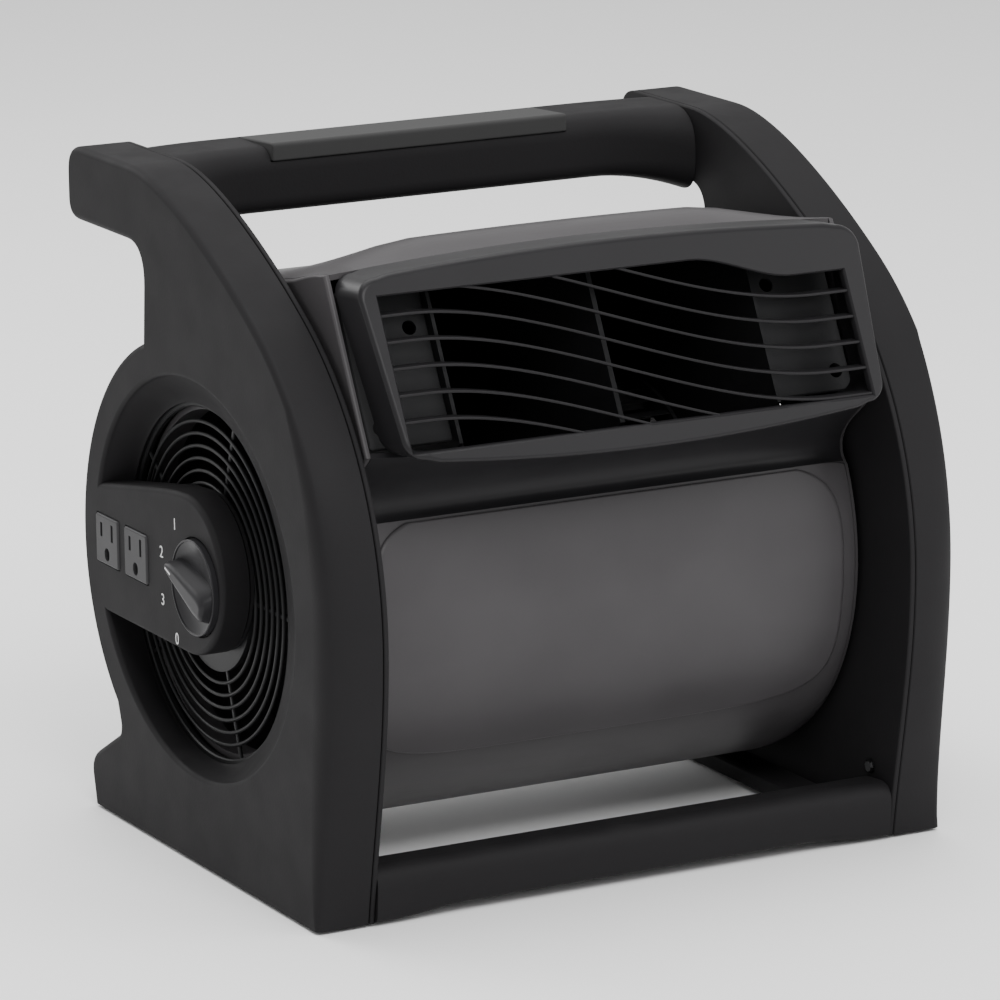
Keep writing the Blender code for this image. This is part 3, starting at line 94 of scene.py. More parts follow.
@dataclass(frozen=True)
class Sizes:
    """Sizes in metres that several pieces share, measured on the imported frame."""

    shift: Vector
    half: float
    top: float
    axis_z: float
    floor_lift: float
    band_x: float
    recess_x: float
    shell_x: float
    drum_end_x: float
    wall: float = 0.003
    edge_round: float = 0.0032
    crown_fullness: float = 2.5
    nozzle_depth: float = 0.0245

    @property
    def intake_radius(self) -> float:
        """Opening at the floor of the intake recess."""
        return 0.263 * self.top

    @property
    def drum_radius(self) -> float:
        """Radius of the drum's front."""
        return 0.3528 * self.top

    @property
    def drum_y(self) -> float:
        """How far the drum's front is set ahead of the axis."""
        return -0.025 * self.top

    @property
    def bar_front(self) -> float:
        """How far ahead of the axis the cross bar's front lies."""
        return 0.4362 * self.top + 0.004

    @property
    def tongue(self) -> Point:
        """Centre of the control tongue's round nose."""
        return (-0.0315 * self.top, 0.4315 * self.top)

    @property
    def knob(self) -> Point:
        """Centre of the speed knob."""
        return (self.tongue[0] - 0.0115, self.tongue[1] - 0.0035)

    @classmethod
    def measured(cls) -> "Sizes":
        """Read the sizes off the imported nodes.

        Returns:
            The shared sizes.
        """
        shaft_low, shaft_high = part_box("motor_shaft")
        middle = (shaft_low + shaft_high) / 2
        right_low, right_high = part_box("right_side_frame")
        shell_low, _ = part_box("drum_front_shell")
        grille_low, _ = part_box("left_intake_grille")
        cover_low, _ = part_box("right_inner_cover")
        return cls(
            shift=Vector((middle.x, middle.y, 0.0)),
            half=right_high.x - middle.x,
            top=right_high.z,
            axis_z=middle.z,
            floor_lift=right_low.z,
            band_x=cover_low.x + FOOT_RAIL_WIDTH - middle.x,
            recess_x=middle.x - grille_low.x + GAP,
            shell_x=middle.x - shell_low.x,
            drum_end_x=middle.x - shell_low.x + END_PLATE_REACH,
        )


SIZES = Sizes.measured()


# ---------------------------------------------------------------- drawing in the side view
def arc(centre: Point, radius: float, start: float, end: float, count: int) -> Outline:
    """Points on a circle.

    Args:
        centre: Middle of the circle.
        radius: Its radius.
        start: First angle in degrees.
        end: Last angle in degrees.
        count: Number of points.

    Returns:
        The points, both ends included.
    """
    turns = (math.radians(start + (end - start) * i / (count - 1)) for i in range(count))
    return [(centre[0] + radius * math.cos(t), centre[1] + radius * math.sin(t)) for t in turns]


def bezier(p0: Point, p1: Point, p2: Point, p3: Point, count: int) -> Outline:
    """Points along a cubic curve.

    Args:
        p0: First end.
        p1: Handle of the first end.
        p2: Handle of the last end.
        p3: Last end.
        count: Number of points.

    Returns:
        The points, both ends included.
    """
    result: Outline = []
    for i in range(count):
        t = i / (count - 1)
        s = 1 - t
        weights = (s * s * s, 3 * s * s * t, 3 * s * t * t, t * t * t)
        result.append((sum(w * p[0] for w, p in zip(weights, (p0, p1, p2, p3))),
                       sum(w * p[1] for w, p in zip(weights, (p0, p1, p2, p3)))))
    return result


def rounded(corners: Sequence[Point], lengths: Sequence[float], steps: int = 8) -> Outline:
    """An open line whose inner corners are rounded.

    Args:
        corners: The line's corners, ends included.
        lengths: How far from each inner corner its rounding starts.
        steps: Segments in each rounding.

    Returns:
        The rounded line.
    """
    points: Outline = [corners[0]]
    for before, corner, after, length in zip(corners, corners[1:], corners[2:], lengths):
        here = Vector(corner)
        into = (Vector(before) - here).normalized() * length
        out = (Vector(after) - here).normalized() * length
        for k in range(steps + 1):
            t = k / steps
            p = here + into * (1 - t) ** 2 + out * t ** 2
            points.append((p.x, p.y))
    points.append(corners[-1])
    return points


def ellipse(half_y: float, half_z: float, count: int, centre: Point) -> Outline:
    """A closed clockwise ellipse; equal halves make a circle.

    Args:
        half_y: Half its width.
        half_z: Half its height.
        count: Number of points.
        centre: Its middle.

    Returns:
        The points, without the first one repeated.
    """
    turns = (math.pi - math.tau * i / count for i in range(count))
    return [(centre[0] + half_y * math.cos(t), centre[1] + half_z * math.sin(t)) for t in turns]


def soft_box(centre: Point, width: float, height: float, corner: float, steps: int = 5) -> Outline:
    """A closed clockwise rectangle with rounded corners.

    Args:
        centre: Its middle.
        width: Size along y.
        height: Size along z.
        corner: Corner radius.
        steps: Segments in each corner.

    Returns:
        The points, without the first one repeated.
    """
    y, z = centre
    a, b = width / 2 - corner, height / 2 - corner
    result: Outline = []
    for (sy, sz), start in (((-1, -1), 270.0), ((-1, 1), 180.0), ((1, 1), 90.0), ((1, -1), 0.0)):
        result += arc((y + sy * a, z + sz * b), corner, start, start - 90.0, steps + 1)
    return result


def inset(outline: Outline, distance: float | list[float], closed: bool = True) -> Outline:
    """Move a clockwise outline inward.

    Args:
        outline: The outline.
        distance: One distance, or one for each point.
        closed: Whether the last point joins the first.

    Returns:
        The moved outline.
    """
    count = len(outline)
    distances = distance if isinstance(distance, list) else [distance] * count
    result: Outline = []
    for i, (y, z) in enumerate(outline):
        normals: list[Vector] = []
        if closed or i > 0:
            by, bz = outline[i - 1]
            normals.append(Vector((z - bz, by - y)).normalized())
        if closed or i < count - 1:
            ay, az = outline[(i + 1) % count]
            normals.append(Vector((az - z, y - ay)).normalized())
        mean = sum(normals, Vector((0.0, 0.0))).normalized()
        reach = distances[i] / max(mean.dot(normals[0]), 0.5)
        result.append((y + mean.x * reach, z + mean.y * reach))
    return result


def tidy(outline: Outline, least: float = 0.00025) -> Outline:
    """Drop points that lie almost on the one before.

    Args:
        outline: A closed outline.
        least: Smallest step kept.

    Returns:
        The thinned outline.
    """
    kept: Outline = [outline[0]]
    for point in outline[1:]:
        if math.dist(point, kept[-1]) > least:
            kept.append(point)
    if math.dist(kept[0], kept[-1]) <= least:
        kept.pop()
    return kept


# ---------------------------------------------------------------- making meshes
class Mould:
    """Collects the faces of one piece, drawn about the drum axis, and turns them into an object."""

    def __init__(self) -> None:
        """Start empty."""
        self.bm = bmesh.new()

    def ring(self, points: Iterable[Sequence[float]]) -> list[bmesh.types.BMVert]:
        """Add a row of vertices at (x, y, z) points."""
        return [self.bm.verts.new(tuple(p)) for p in points]

    def section(self, outline: Outline, x: float) -> list[bmesh.types.BMVert]:
        """Add a side-view outline at one x."""
        return self.ring((x, y, z) for y, z in outline)

    def join(self, first: list, second: list, closed: bool = True) -> None:
        """Fill the strip between two rows of equal length.

        Args:
            first: One row.
            second: The other row.
            closed: Whether the rows are rings.
        """
        count = len(first)
        for i in range(count if closed else count - 1):
            j = (i + 1) % count
            self.bm.faces.new((first[i], first[j], second[j], second[i]))

    def skin(self, rings: list[list], capped: bool = True) -> None:
        """Join rings in order.

        Args:
            rings: Rings of equal length.
            capped: Whether the first and last are closed with one face each; if not, they are joined
                to each other.
        """
        for a, b in zip(rings, rings[1:]):
            self.join(a, b)
        if capped:
            self.bm.faces.new(rings[0])
            self.bm.faces.new(rings[-1])
        else:
            self.join(rings[-1], rings[0])

    def loft(self, sections: Iterable[tuple[float, Outline]]) -> "Mould":
        """Add a closed solid through (x, outline) sections and return the mould."""
        self.skin([self.section(outline, x) for x, outline in sections])
        return self

    def lathe(self, profile: Sequence[Point], count: int, centre: Point) -> "Mould":
        """Turn an (x, radius) profile about a line along x.

        Args:
            profile: The profile; a radius of 0 closes an end, otherwise the profile is a closed ring.
            count: Segments round the line.
            centre: Where the line stands in the side view.

        Returns:
            The mould.
        """
        rings: list[list] = []
        for x, radius in profile:
            if radius == 0:
                rings.append(self.ring([(x, *centre)]))
            else:
                rings.append(self.section(ellipse(radius, radius, count, centre), x))
        pairs = list(zip(rings, rings[1:]))
        if all(len(r) > 1 for r in rings):
            pairs.append((rings[-1], rings[0]))
        for a, b in pairs:
            if len(a) > 1 and len(b) > 1:
                self.join(a, b)
            elif len(a) > 1 or len(b) > 1:
                ring, tip = (a, b[0]) if len(a) > 1 else (b, a[0])
                for i in range(count):
                    self.bm.faces.new((ring[i], ring[(i + 1) % count], tip))
        return self

    def object(self, name: str) -> bpy.types.Object:
        """Close the mould and make its object.

        Args:
            name: The object's name.

        Returns:
            The object, at the origin with its place in its mesh.
        """
        bmesh.ops.remove_doubles(self.bm, verts=self.bm.verts, dist=WELD)
        bmesh.ops.recalc_face_normals(self.bm, faces=self.bm.faces)
        bmesh.ops.translate(self.bm, verts=self.bm.verts, vec=SIZES.shift)
        mesh = bpy.data.meshes.new(name)
        self.bm.to_mesh(mesh)
        self.bm.free()
        obj = bpy.data.objects.new(name, mesh)
        bpy.context.scene.collection.objects.link(obj)
        return obj


def baked(obj: bpy.types.Object) -> bpy.types.Object:
    """Turn an object's modifiers into its mesh.

    Args:
        obj: The object.

    Returns:
        The same object with a plain mesh and no modifiers.
    """
    bpy.context.view_layer.update()
    graph = bpy.context.evaluated_depsgraph_get()
    mesh = bpy.data.meshes.new_from_object(obj.evaluated_get(graph), depsgraph=graph)
    mesh.name = obj.name
    obj.modifiers.clear()
    obj.data = mesh
    return obj


def carve(obj: bpy.types.Object, tool: Mould, operation: str = "DIFFERENCE") -> None:
    """Cut a shape from an object, or join it on.

    Args:
        obj: The object that is changed.
        tool: The shape.
        operation: DIFFERENCE or UNION.
    """
    cutter = tool.object(f"{obj.name}_tool")
    modifier = obj.modifiers.new("carve", "BOOLEAN")
    modifier.operation = operation
    modifier.solver = "EXACT"
    modifier.object = cutter
    baked(obj)
    bpy.data.objects.remove(cutter, do_unlink=True)


def dress(obj: bpy.types.Object, finish: "Finish", body: Body, *nodes: str, angle: float = 32.0) -> None:
    """Shade a piece, give it its finish and set it on its body.

    Args:
        obj: The piece.
        finish: Its finish.
        body: The body that it rides on.
        nodes: CAD nodes that it stands for.
        angle: Edges sharper than this many degrees stay crisp.
    """
    mesh = obj.data
    mesh.materials.clear()
    mesh.materials.append(finish.material())
    mesh.shade_smooth()
    mesh.set_sharp_from_angle(angle=math.radians(angle))
    weigh = obj.modifiers.new("weigh", "WEIGHTED_NORMAL")
    weigh.keep_sharp = True
    baked(obj)
    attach(obj, body.value)
    if nodes:
        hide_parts(*nodes)
    LOG.info("%s: %d faces, %s, on %s", obj.name, len(obj.data.polygons), finish.name, body.value)


# ---------------------------------------------------------------- finishes
class Surface:
    """A node material while it is being put together."""

    def __init__(self, name: str, gloss: float = 0.5) -> None:
        """Start with a bare shader that reads Object coordinates.

        Args:
            name: The material's name.
            gloss: Strength of its mirror-like reflection.
        """
        self.owner = bpy.data.materials.new(name)
        self.owner.use_nodes = True
        self.tree = self.owner.node_tree
        self.shader = self.tree.nodes["Principled BSDF"]
        self.shader.inputs["Specular IOR Level"].default_value = gloss
        self.shader.inputs["IOR"].default_value = 1.32
        self.place = self.tree.nodes.new("ShaderNodeTexCoord").outputs["Object"]

    def link(self, source: bpy.types.NodeSocket, target: bpy.types.NodeSocket) -> None:
        """Join two sockets."""
        self.tree.links.new(source, target)

    def noise(self, size: float, detail: float = 3.0, stretch: Vector | None = None) -> bpy.types.NodeSocket:
        """Cloudy pattern.

        Args:
            size: Size of its features in metres.
            detail: How much finer detail it carries.
            stretch: Scale along each axis, for drawn-out grain.

        Returns:
            Its value socket.
        """
        node = self.tree.nodes.new("ShaderNodeTexNoise")
        node.inputs["Scale"].default_value = 1.0 / size
        node.inputs["Detail"].default_value = detail
        place = self.place
        if stretch is not None:
            mapping = self.tree.nodes.new("ShaderNodeMapping")
            mapping.inputs["Scale"].default_value = stretch
            self.link(self.place, mapping.inputs["Vector"])
            place = mapping.outputs["Vector"]
        self.link(place, node.inputs["Vector"])
        return node.outputs["Fac"]

    def cells(self, size: float) -> bpy.types.NodeSocket:
        """Pebbled pattern of rounded cells.

        Args:
            size: Size of a cell in metres.

        Returns:
            Distance from each cell's middle.
        """
        node = self.tree.nodes.new("ShaderNodeTexVoronoi")
        node.feature = "SMOOTH_F1"
        node.inputs["Scale"].default_value = 1.0 / size
        self.link(self.place, node.inputs["Vector"])
        return node.outputs["Distance"]

    def upward(self) -> bpy.types.NodeSocket:
        """How far the surface faces up, from 0 to 1."""
        geometry = self.tree.nodes.new("ShaderNodeNewGeometry")
        split = self.tree.nodes.new("ShaderNodeSeparateXYZ")
        self.link(geometry.outputs["Normal"], split.inputs[0])
        return self.spread(split.outputs["Z"], 0.25, 1.0, 0.0, 1.0)

    def spread(self, value: bpy.types.NodeSocket, low: float, high: float, first: float,
               last: float) -> bpy.types.NodeSocket:
        """Map a value from one range to another, held at its ends."""
        node = self.tree.nodes.new("ShaderNodeMapRange")
        for name, number in (("From Min", low), ("From Max", high), ("To Min", first), ("To Max", last)):
            node.inputs[name].default_value = number
        self.link(value, node.inputs["Value"])
        return node.outputs["Result"]

    def math(self, operation: str, first: bpy.types.NodeSocket,
             second: bpy.types.NodeSocket | float) -> bpy.types.NodeSocket:
        """Combine two values by a named operation."""
        node = self.tree.nodes.new("ShaderNodeMath")
        node.operation = operation
        self.link(first, node.inputs[0])
        if isinstance(second, float):
            node.inputs[1].default_value = second
        else:
            self.link(second, node.inputs[1])
        return node.outputs[0]

    def mix(self, share: bpy.types.NodeSocket, first: Sequence[float] | bpy.types.NodeSocket,
            second: Sequence[float]) -> bpy.types.NodeSocket:
        """Blend two colours by a share socket."""
        node = self.tree.nodes.new("ShaderNodeMix")
        node.data_type = "RGBA"
        self.link(share, node.inputs["Factor"])
        if isinstance(first, bpy.types.NodeSocket):
            self.link(first, node.inputs["A"])
        else:
            node.inputs["A"].default_value = (*first, 1.0)
        node.inputs["B"].default_value = (*second, 1.0)
        return node.outputs["Result"]

    def bump(self, height: bpy.types.NodeSocket, depth: float, strength: float) -> None:
        """Raise the surface by a height pattern; calls stack.

        Args:
            height: The pattern.
            depth: How deep it is in metres.
            strength: How much of it shows.
        """
        node = self.tree.nodes.new("ShaderNodeBump")
        node.inputs["Distance"].default_value = depth
        node.inputs["Strength"].default_value = strength
        self.link(height, node.inputs["Height"])
        target = self.shader.inputs["Normal"]
        if target.is_linked:
            self.link(target.links[0].from_socket, node.inputs["Normal"])
        self.link(node.outputs["Normal"], target)


@dataclass(frozen=True)
class Finish:
    """What a surface is made of; each kind builds its own nodes."""

    name: str
    slot: str
    colour: tuple[float, float, float]
    roughness: float
    gloss: float = 0.30

    def material(self) -> bpy.types.Material:
        """The finish's material, made the first time it is asked for."""
        known = bpy.data.materials.get(self.name)
        return known if known else self.build()

    def build(self) -> bpy.types.Material:
        """Make the node material."""
        raise NotImplementedError

    def shade(self, factor: float) -> tuple[float, float, float]:
        """The finish's colour made darker or lighter."""
        red, green, blue = self.colour
        return (min(red * factor, 1.0), min(green * factor, 1.0), min(blue * factor, 1.0))


@dataclass(frozen=True)
class MouldedPlastic(Finish):
    """Injection-moulded plastic: pebbled tool texture, faint flow marks, dust and rubbed patches."""

    pebble: float = 0.0011
    depth: float = 0.00006
    texture: float = 0.5
    dust: float = 0.35

    def build(self) -> bpy.types.Material:
        """Make the node material."""
        surface = Surface(self.name, self.gloss)
        pebbles = surface.cells(self.pebble)
        fine = surface.noise(self.pebble * 0.45, 2.0)
        flow = surface.noise(0.06, 3.0, Vector((0.35, 1.0, 1.0)))
        patches = surface.noise(0.018, 4.0)
        specks = surface.spread(fine, 0.35, 0.70, 0.0, 1.0)
        colour = surface.mix(surface.spread(flow, 0.3, 0.7, 0.0, 1.0), self.shade(0.94), self.shade(1.06))
        colour = surface.mix(surface.spread(specks, 0.0, 1.0, 0.0, 0.22), colour, self.shade(1.6))
        lying = surface.spread(patches, 0.42, 0.75, 0.0, self.dust)
        settled = surface.math("MULTIPLY", surface.upward(), lying)
        grey = tuple(0.6 * c + 0.4 * 0.09 for c in self.colour)
        colour = surface.mix(surface.math("MULTIPLY", settled, 0.25), colour, grey)
        surface.link(colour, surface.shader.inputs["Base Color"])
        rubbed = surface.spread(patches, 0.35, 0.68, self.roughness - 0.025, self.roughness + 0.025)
        surface.link(surface.math("ADD", rubbed, surface.math("MULTIPLY", settled, 0.25)),
                     surface.shader.inputs["Roughness"])
        surface.bump(pebbles, self.depth, self.texture)
        surface.bump(fine, self.depth * 0.4, self.texture)
        return surface.owner


@dataclass(frozen=True)
class SatinPlastic(Finish):
    """Smoother plastic with a low sheen, hairline rubs and a slight orange peel."""

    peel: float = 0.004
    rubs: float = 0.35

    def build(self) -> bpy.types.Material:
        """Make the node material."""
        surface = Surface(self.name, self.gloss)
        peel = surface.noise(self.peel, 2.0)
        fine = surface.noise(0.0006, 2.0)
        hairs = surface.noise(0.0009, 2.0, Vector((0.04, 1.0, 1.0)))
        cloud = surface.noise(0.05, 3.0)
        colour = surface.mix(surface.spread(cloud, 0.3, 0.7, 0.0, 1.0), self.shade(0.93), self.shade(1.07))
        colour = surface.mix(surface.spread(fine, 0.4, 0.75, 0.0, 0.16), colour, self.shade(1.35))
        surface.link(colour, surface.shader.inputs["Base Color"])
        worn = surface.spread(hairs, 0.60, 0.80, 0.0, self.rubs * 0.25)
        base = surface.spread(cloud, 0.35, 0.65, self.roughness - 0.04, self.roughness + 0.04)
        surface.link(surface.math("ADD", base, worn), surface.shader.inputs["Roughness"])
        surface.bump(peel, 0.00010, 0.18)
        surface.bump(fine, 0.00003, 0.35)
        return surface.owner


@dataclass(frozen=True)
class SoftRubber(Finish):
    """Matt rubber with a close grain and a dusty bloom."""

    grain: float = 0.0007

    def build(self) -> bpy.types.Material:
        """Make the node material."""
        surface = Surface(self.name, self.gloss)
        grain = surface.noise(self.grain, 3.0)
        bloom = surface.noise(0.014, 4.0)
        colour = surface.mix(surface.spread(bloom, 0.35, 0.75, 0.0, 0.7), self.shade(0.9), self.shade(1.5))
        surface.link(colour, surface.shader.inputs["Base Color"])
        surface.link(surface.spread(bloom, 0.3, 0.7, self.roughness - 0.08, self.roughness + 0.08),
                     surface.shader.inputs["Roughness"])
        surface.bump(grain, 0.00008, 0.5)
        return surface.owner


@dataclass(frozen=True)
class PressedFelt(Finish):
    """Short matted fibres."""

    def build(self) -> bpy.types.Material:
        """Make the node material."""
        surface = Surface(self.name, self.gloss)
        fibres = surface.noise(0.0012, 6.0, Vector((1.0, 0.25, 1.0)))
        crossed = surface.noise(0.0012, 6.0, Vector((1.0, 1.0, 0.25)))
        matted = surface.math("MAXIMUM", fibres, crossed)
        surface.link(surface.mix(matted, self.shade(0.6), self.shade(1.5)),
                     surface.shader.inputs["Base Color"])
        surface.shader.inputs["Roughness"].default_value = self.roughness
        surface.bump(matted, 0.0004, 0.7)
        return surface.owner


@dataclass(frozen=True)
class Metal(Finish):
    """Bare or plated metal with drawn-out tool marks and dull spots."""

    marks: tuple[float, float, float] = (0.05, 1.0, 1.0)

    def build(self) -> bpy.types.Material:
        """Make the node material."""
        surface = Surface(self.name, self.gloss)
        lines = surface.noise(0.0007, 3.0, Vector(self.marks))
        spots = surface.noise(0.006, 4.0)
        colour = surface.mix(surface.spread(spots, 0.45, 0.75, 0.0, 0.8), self.colour, self.shade(0.62))
        surface.link(colour, surface.shader.inputs["Base Color"])
        surface.shader.inputs["Metallic"].default_value = 1.0
        surface.link(surface.math("ADD", surface.spread(lines, 0.3, 0.7, -0.08, 0.08),
                                  surface.spread(spots, 0.3, 0.7, self.roughness, self.roughness + 0.12)),
                     surface.shader.inputs["Roughness"])
        surface.bump(lines, 0.00004, 0.4)
        return surface.owner


@dataclass(frozen=True)
class PrintedInk(Finish):
    """Pad-printed marks, slightly worn through."""

    def build(self) -> bpy.types.Material:
        """Make the node material."""
        surface = Surface(self.name, self.gloss)
        worn = surface.noise(0.0008, 4.0)
        surface.link(surface.mix(surface.spread(worn, 0.56, 0.72, 0.0, 0.5), self.colour, self.shade(0.35)),
                     surface.shader.inputs["Base Color"])
        surface.link(surface.spread(worn, 0.3, 0.7, self.roughness - 0.05, self.roughness + 0.1),
                     surface.shader.inputs["Roughness"])
        return surface.owner


FRAME_PLASTIC = MouldedPlastic("charcoal_texture", "frame_plastic", (0.0110, 0.0105, 0.0112), 0.62,
                               gloss=0.20)
GRILLE_PLASTIC = SatinPlastic("grille_black", "grille_plastic", (0.009, 0.009, 0.0095), 0.42)
DRUM_PLASTIC = SatinPlastic("drum_grey", "drum_plastic", (0.047, 0.0445, 0.0465), 0.36)
NOZZLE_PLASTIC = SatinPlastic("nozzle_black", "nozzle_plastic", (0.0130, 0.0125, 0.0135), 0.36)
BAFFLE_PLASTIC = MouldedPlastic("baffle_grey", "baffle_plastic", (0.022, 0.022, 0.023), 0.52, pebble=0.0008)
OUTLET_PLASTIC = SatinPlastic("outlet_grey", "outlet_plastic", (0.030, 0.0295, 0.031), 0.42)
KNOB_PLASTIC = SatinPlastic("knob_grey", "knob_plastic", (0.017, 0.0165, 0.018), 0.33)
GRIP_RUBBER = SoftRubber("grip_rubber", "grip_rubber", (0.0090, 0.0088, 0.0094), 0.50)
PAD_RUBBER = SoftRubber("pad_rubber", "pad_rubber", (0.014, 0.014, 0.014), 0.75)
FELT = PressedFelt("friction_felt", "friction_felt", (0.060, 0.058, 0.055), 0.92)
ELECTRICAL = MouldedPlastic("electrical_black", "electrical_plastic", (0.022, 0.022, 0.025), 0.45)
ZINC = Metal("zinc_plate", "zinc_steel", (0.075, 0.075, 0.078), 0.30)
CORE_STEEL = Metal("core_steel", "core_steel", (0.27, 0.27, 0.28), 0.42, marks=(1.0, 0.1, 0.1))
ALUMINIUM = Metal("cast_aluminium", "cap_aluminium", (0.55, 0.56, 0.57), 0.45, marks=(1.0, 1.0, 1.0))
WHEEL_PLASTIC = MouldedPlastic("wheel_black", "wheel_plastic", (0.018, 0.018, 0.019), 0.48)
INK = PrintedInk("white_ink", "outlet_plastic", (0.62, 0.62, 0.62), 0.45)

FINISHES: tuple[Finish, ...] = (
    FRAME_PLASTIC, GRILLE_PLASTIC, DRUM_PLASTIC, NOZZLE_PLASTIC, BAFFLE_PLASTIC, OUTLET_PLASTIC, KNOB_PLASTIC,
    GRIP_RUBBER, PAD_RUBBER, FELT, ELECTRICAL, ZINC, CORE_STEEL, ALUMINIUM, WHEEL_PLASTIC)


# ---------------------------------------------------------------- repeated shapes
class Pattern:
    """A geometry node tree that is built, run once and turned into a plain mesh."""

    def __init__(self, name: str, finish: Finish) -> None:
        """Start a tree for a piece of the given name and finish."""
        self.name = name
        self.finish = finish
        self.tree = bpy.data.node_groups.new(name, "GeometryNodeTree")
        self.tree.interface.new_socket("Geometry", in_out="OUTPUT", socket_type="NodeSocketGeometry")
        self.entry = self.tree.nodes.new("NodeGroupInput")
        self.leave = self.tree.nodes.new("NodeGroupOutput")
        self.values: dict[str, object] = {}

    def given(self, name: str, value: object, kind: str = "NodeSocketFloat") -> bpy.types.NodeSocket:
        """Add a named input.

        Args:
            name: The input's name.
            value: What it is set to.
            kind: Its socket type.

        Returns:
            The socket to link from.
        """
        socket = self.tree.interface.new_socket(name, in_out="INPUT", socket_type=kind)
        self.values[socket.identifier] = value
        return self.entry.outputs[name]

    def node(self, kind: str, inputs: dict[str | int, object], **settings: object) -> bpy.types.Node:
        """Add a node.

        Args:
            kind: Its type.
            inputs: Sockets or plain values by input name or number.
            settings: Its own properties.

        Returns:
            The node.
        """
        made = self.tree.nodes.new(kind)
        for key, value in settings.items():
            setattr(made, key, value)
        for key, value in inputs.items():
            if isinstance(value, bpy.types.NodeSocket):
                self.tree.links.new(value, made.inputs[key])
            else:
                made.inputs[key].default_value = value
        return made

    def math(self, operation: str, first: object, second: object = 0.0) -> bpy.types.NodeSocket:
        """Combine two values or sockets by a named operation."""
        return self.node("ShaderNodeMath", {0: first, 1: second}, operation=operation).outputs[0]

    def step(self, value: object, low: object, high: object, last: object) -> bpy.types.NodeSocket:
        """A smooth step from 0 to a last value between two limits."""
        return self.node("ShaderNodeMapRange", {"Value": value, "From Min": low, "From Max": high,
                                                "To Min": 0.0, "To Max": last},
                         interpolation_type="SMOOTHSTEP").outputs["Result"]

    def along(self, direction: Vector, amount: object) -> bpy.types.NodeSocket:
        """A fixed direction scaled by an amount."""
        return self.node("ShaderNodeVectorMath", {0: tuple(direction), "Scale": amount},
                         operation="SCALE").outputs[0]

    def add(self, *vectors: object) -> bpy.types.NodeSocket:
        """The sum of several vectors."""
        total = vectors[0]
        for vector in vectors[1:]:
            total = self.node("ShaderNodeVectorMath", {0: total, 1: vector}, operation="ADD").outputs[0]
        return total

    def run(self, geometry: bpy.types.NodeSocket) -> bpy.types.Object:
        """Finish the tree and turn its result into a plain object.

        Args:
            geometry: What the tree makes.

        Returns:
            An object at the origin with no modifiers.
        """
        real = self.node("GeometryNodeRealizeInstances", {"Geometry": geometry})
        painted = self.node("GeometryNodeSetMaterial", {"Geometry": real.outputs["Geometry"],
                                                        "Material": self.finish.material()})
        self.tree.links.new(painted.outputs["Geometry"], self.leave.inputs["Geometry"])
        mesh = bpy.data.meshes.new(self.name)
        obj = bpy.data.objects.new(self.name, mesh)
        bpy.context.scene.collection.objects.link(obj)
        modifier = obj.modifiers.new("pattern", "NODES")
        modifier.node_group = self.tree
        for identifier, value in self.values.items():
            modifier[identifier] = value
        baked(obj)
        bm = bmesh.new()
        bm.from_mesh(obj.data)
        bmesh.ops.remove_doubles(bm, verts=bm.verts, dist=WELD)
        bmesh.ops.recalc_face_normals(bm, faces=bm.faces)
        bm.to_mesh(obj.data)
        bm.free()
        bpy.data.node_groups.remove(self.tree)
        return obj


def round_array(name: str, finish: Finish, part: Mould, count: int, start: float = 0.0) -> bpy.types.Object:
    """Repeat a shape round the drum axis.

    Args:
        name: The piece's name.
        finish: Its finish.
        part: One shape, drawn about y = 0, z = 0 where the first one stands.
        count: How many there are.
        start: Angle of the first one in degrees.

    Returns:
        The piece.
    """
    source = part.object(f"{name}_one")
    source.data.transform(Matrix.Translation(-SIZES.shift))
    pattern = Pattern(name, finish)
    number = pattern.given("Count", count, "NodeSocketInt")
    first = pattern.given("Start", math.radians(start))
    shape = pattern.given("Part", source, "NodeSocketObject")
    points = pattern.node("GeometryNodeMeshLine", {"Count": number, "Offset": (0.0, 0.0, 0.0)})
    index = pattern.node("GeometryNodeInputIndex", {}).outputs[0]
    step = pattern.math("DIVIDE", math.tau, number)
    turn = pattern.math("ADD", pattern.math("MULTIPLY", index, step), first)
    rotation = pattern.node("ShaderNodeCombineXYZ", {"X": turn}).outputs[0]
    single = pattern.node("GeometryNodeObjectInfo", {"Object": shape})
    placed = pattern.node("GeometryNodeInstanceOnPoints", {
        "Points": points.outputs["Mesh"], "Instance": single.outputs["Geometry"], "Rotation": rotation})
    centre = SIZES.shift + Vector((0.0, 0.0, SIZES.axis_z))
    moved = pattern.node("GeometryNodeTransform", {"Geometry": placed.outputs["Instances"],
                                                   "Translation": tuple(centre)})
    result = pattern.run(moved.outputs["Geometry"])
    bpy.data.objects.remove(source, do_unlink=True)
    return result


def join_into(target: bpy.types.Object, *others: bpy.types.Object) -> None:
    """Add other objects' meshes to one object and remove them."""
    bm = bmesh.new()
    for obj in (target, *others):
        bm.from_mesh(obj.data)
    bm.to_mesh(target.data)
    bm.free()
    for obj in others:
        bpy.data.objects.remove(obj, do_unlink=True)


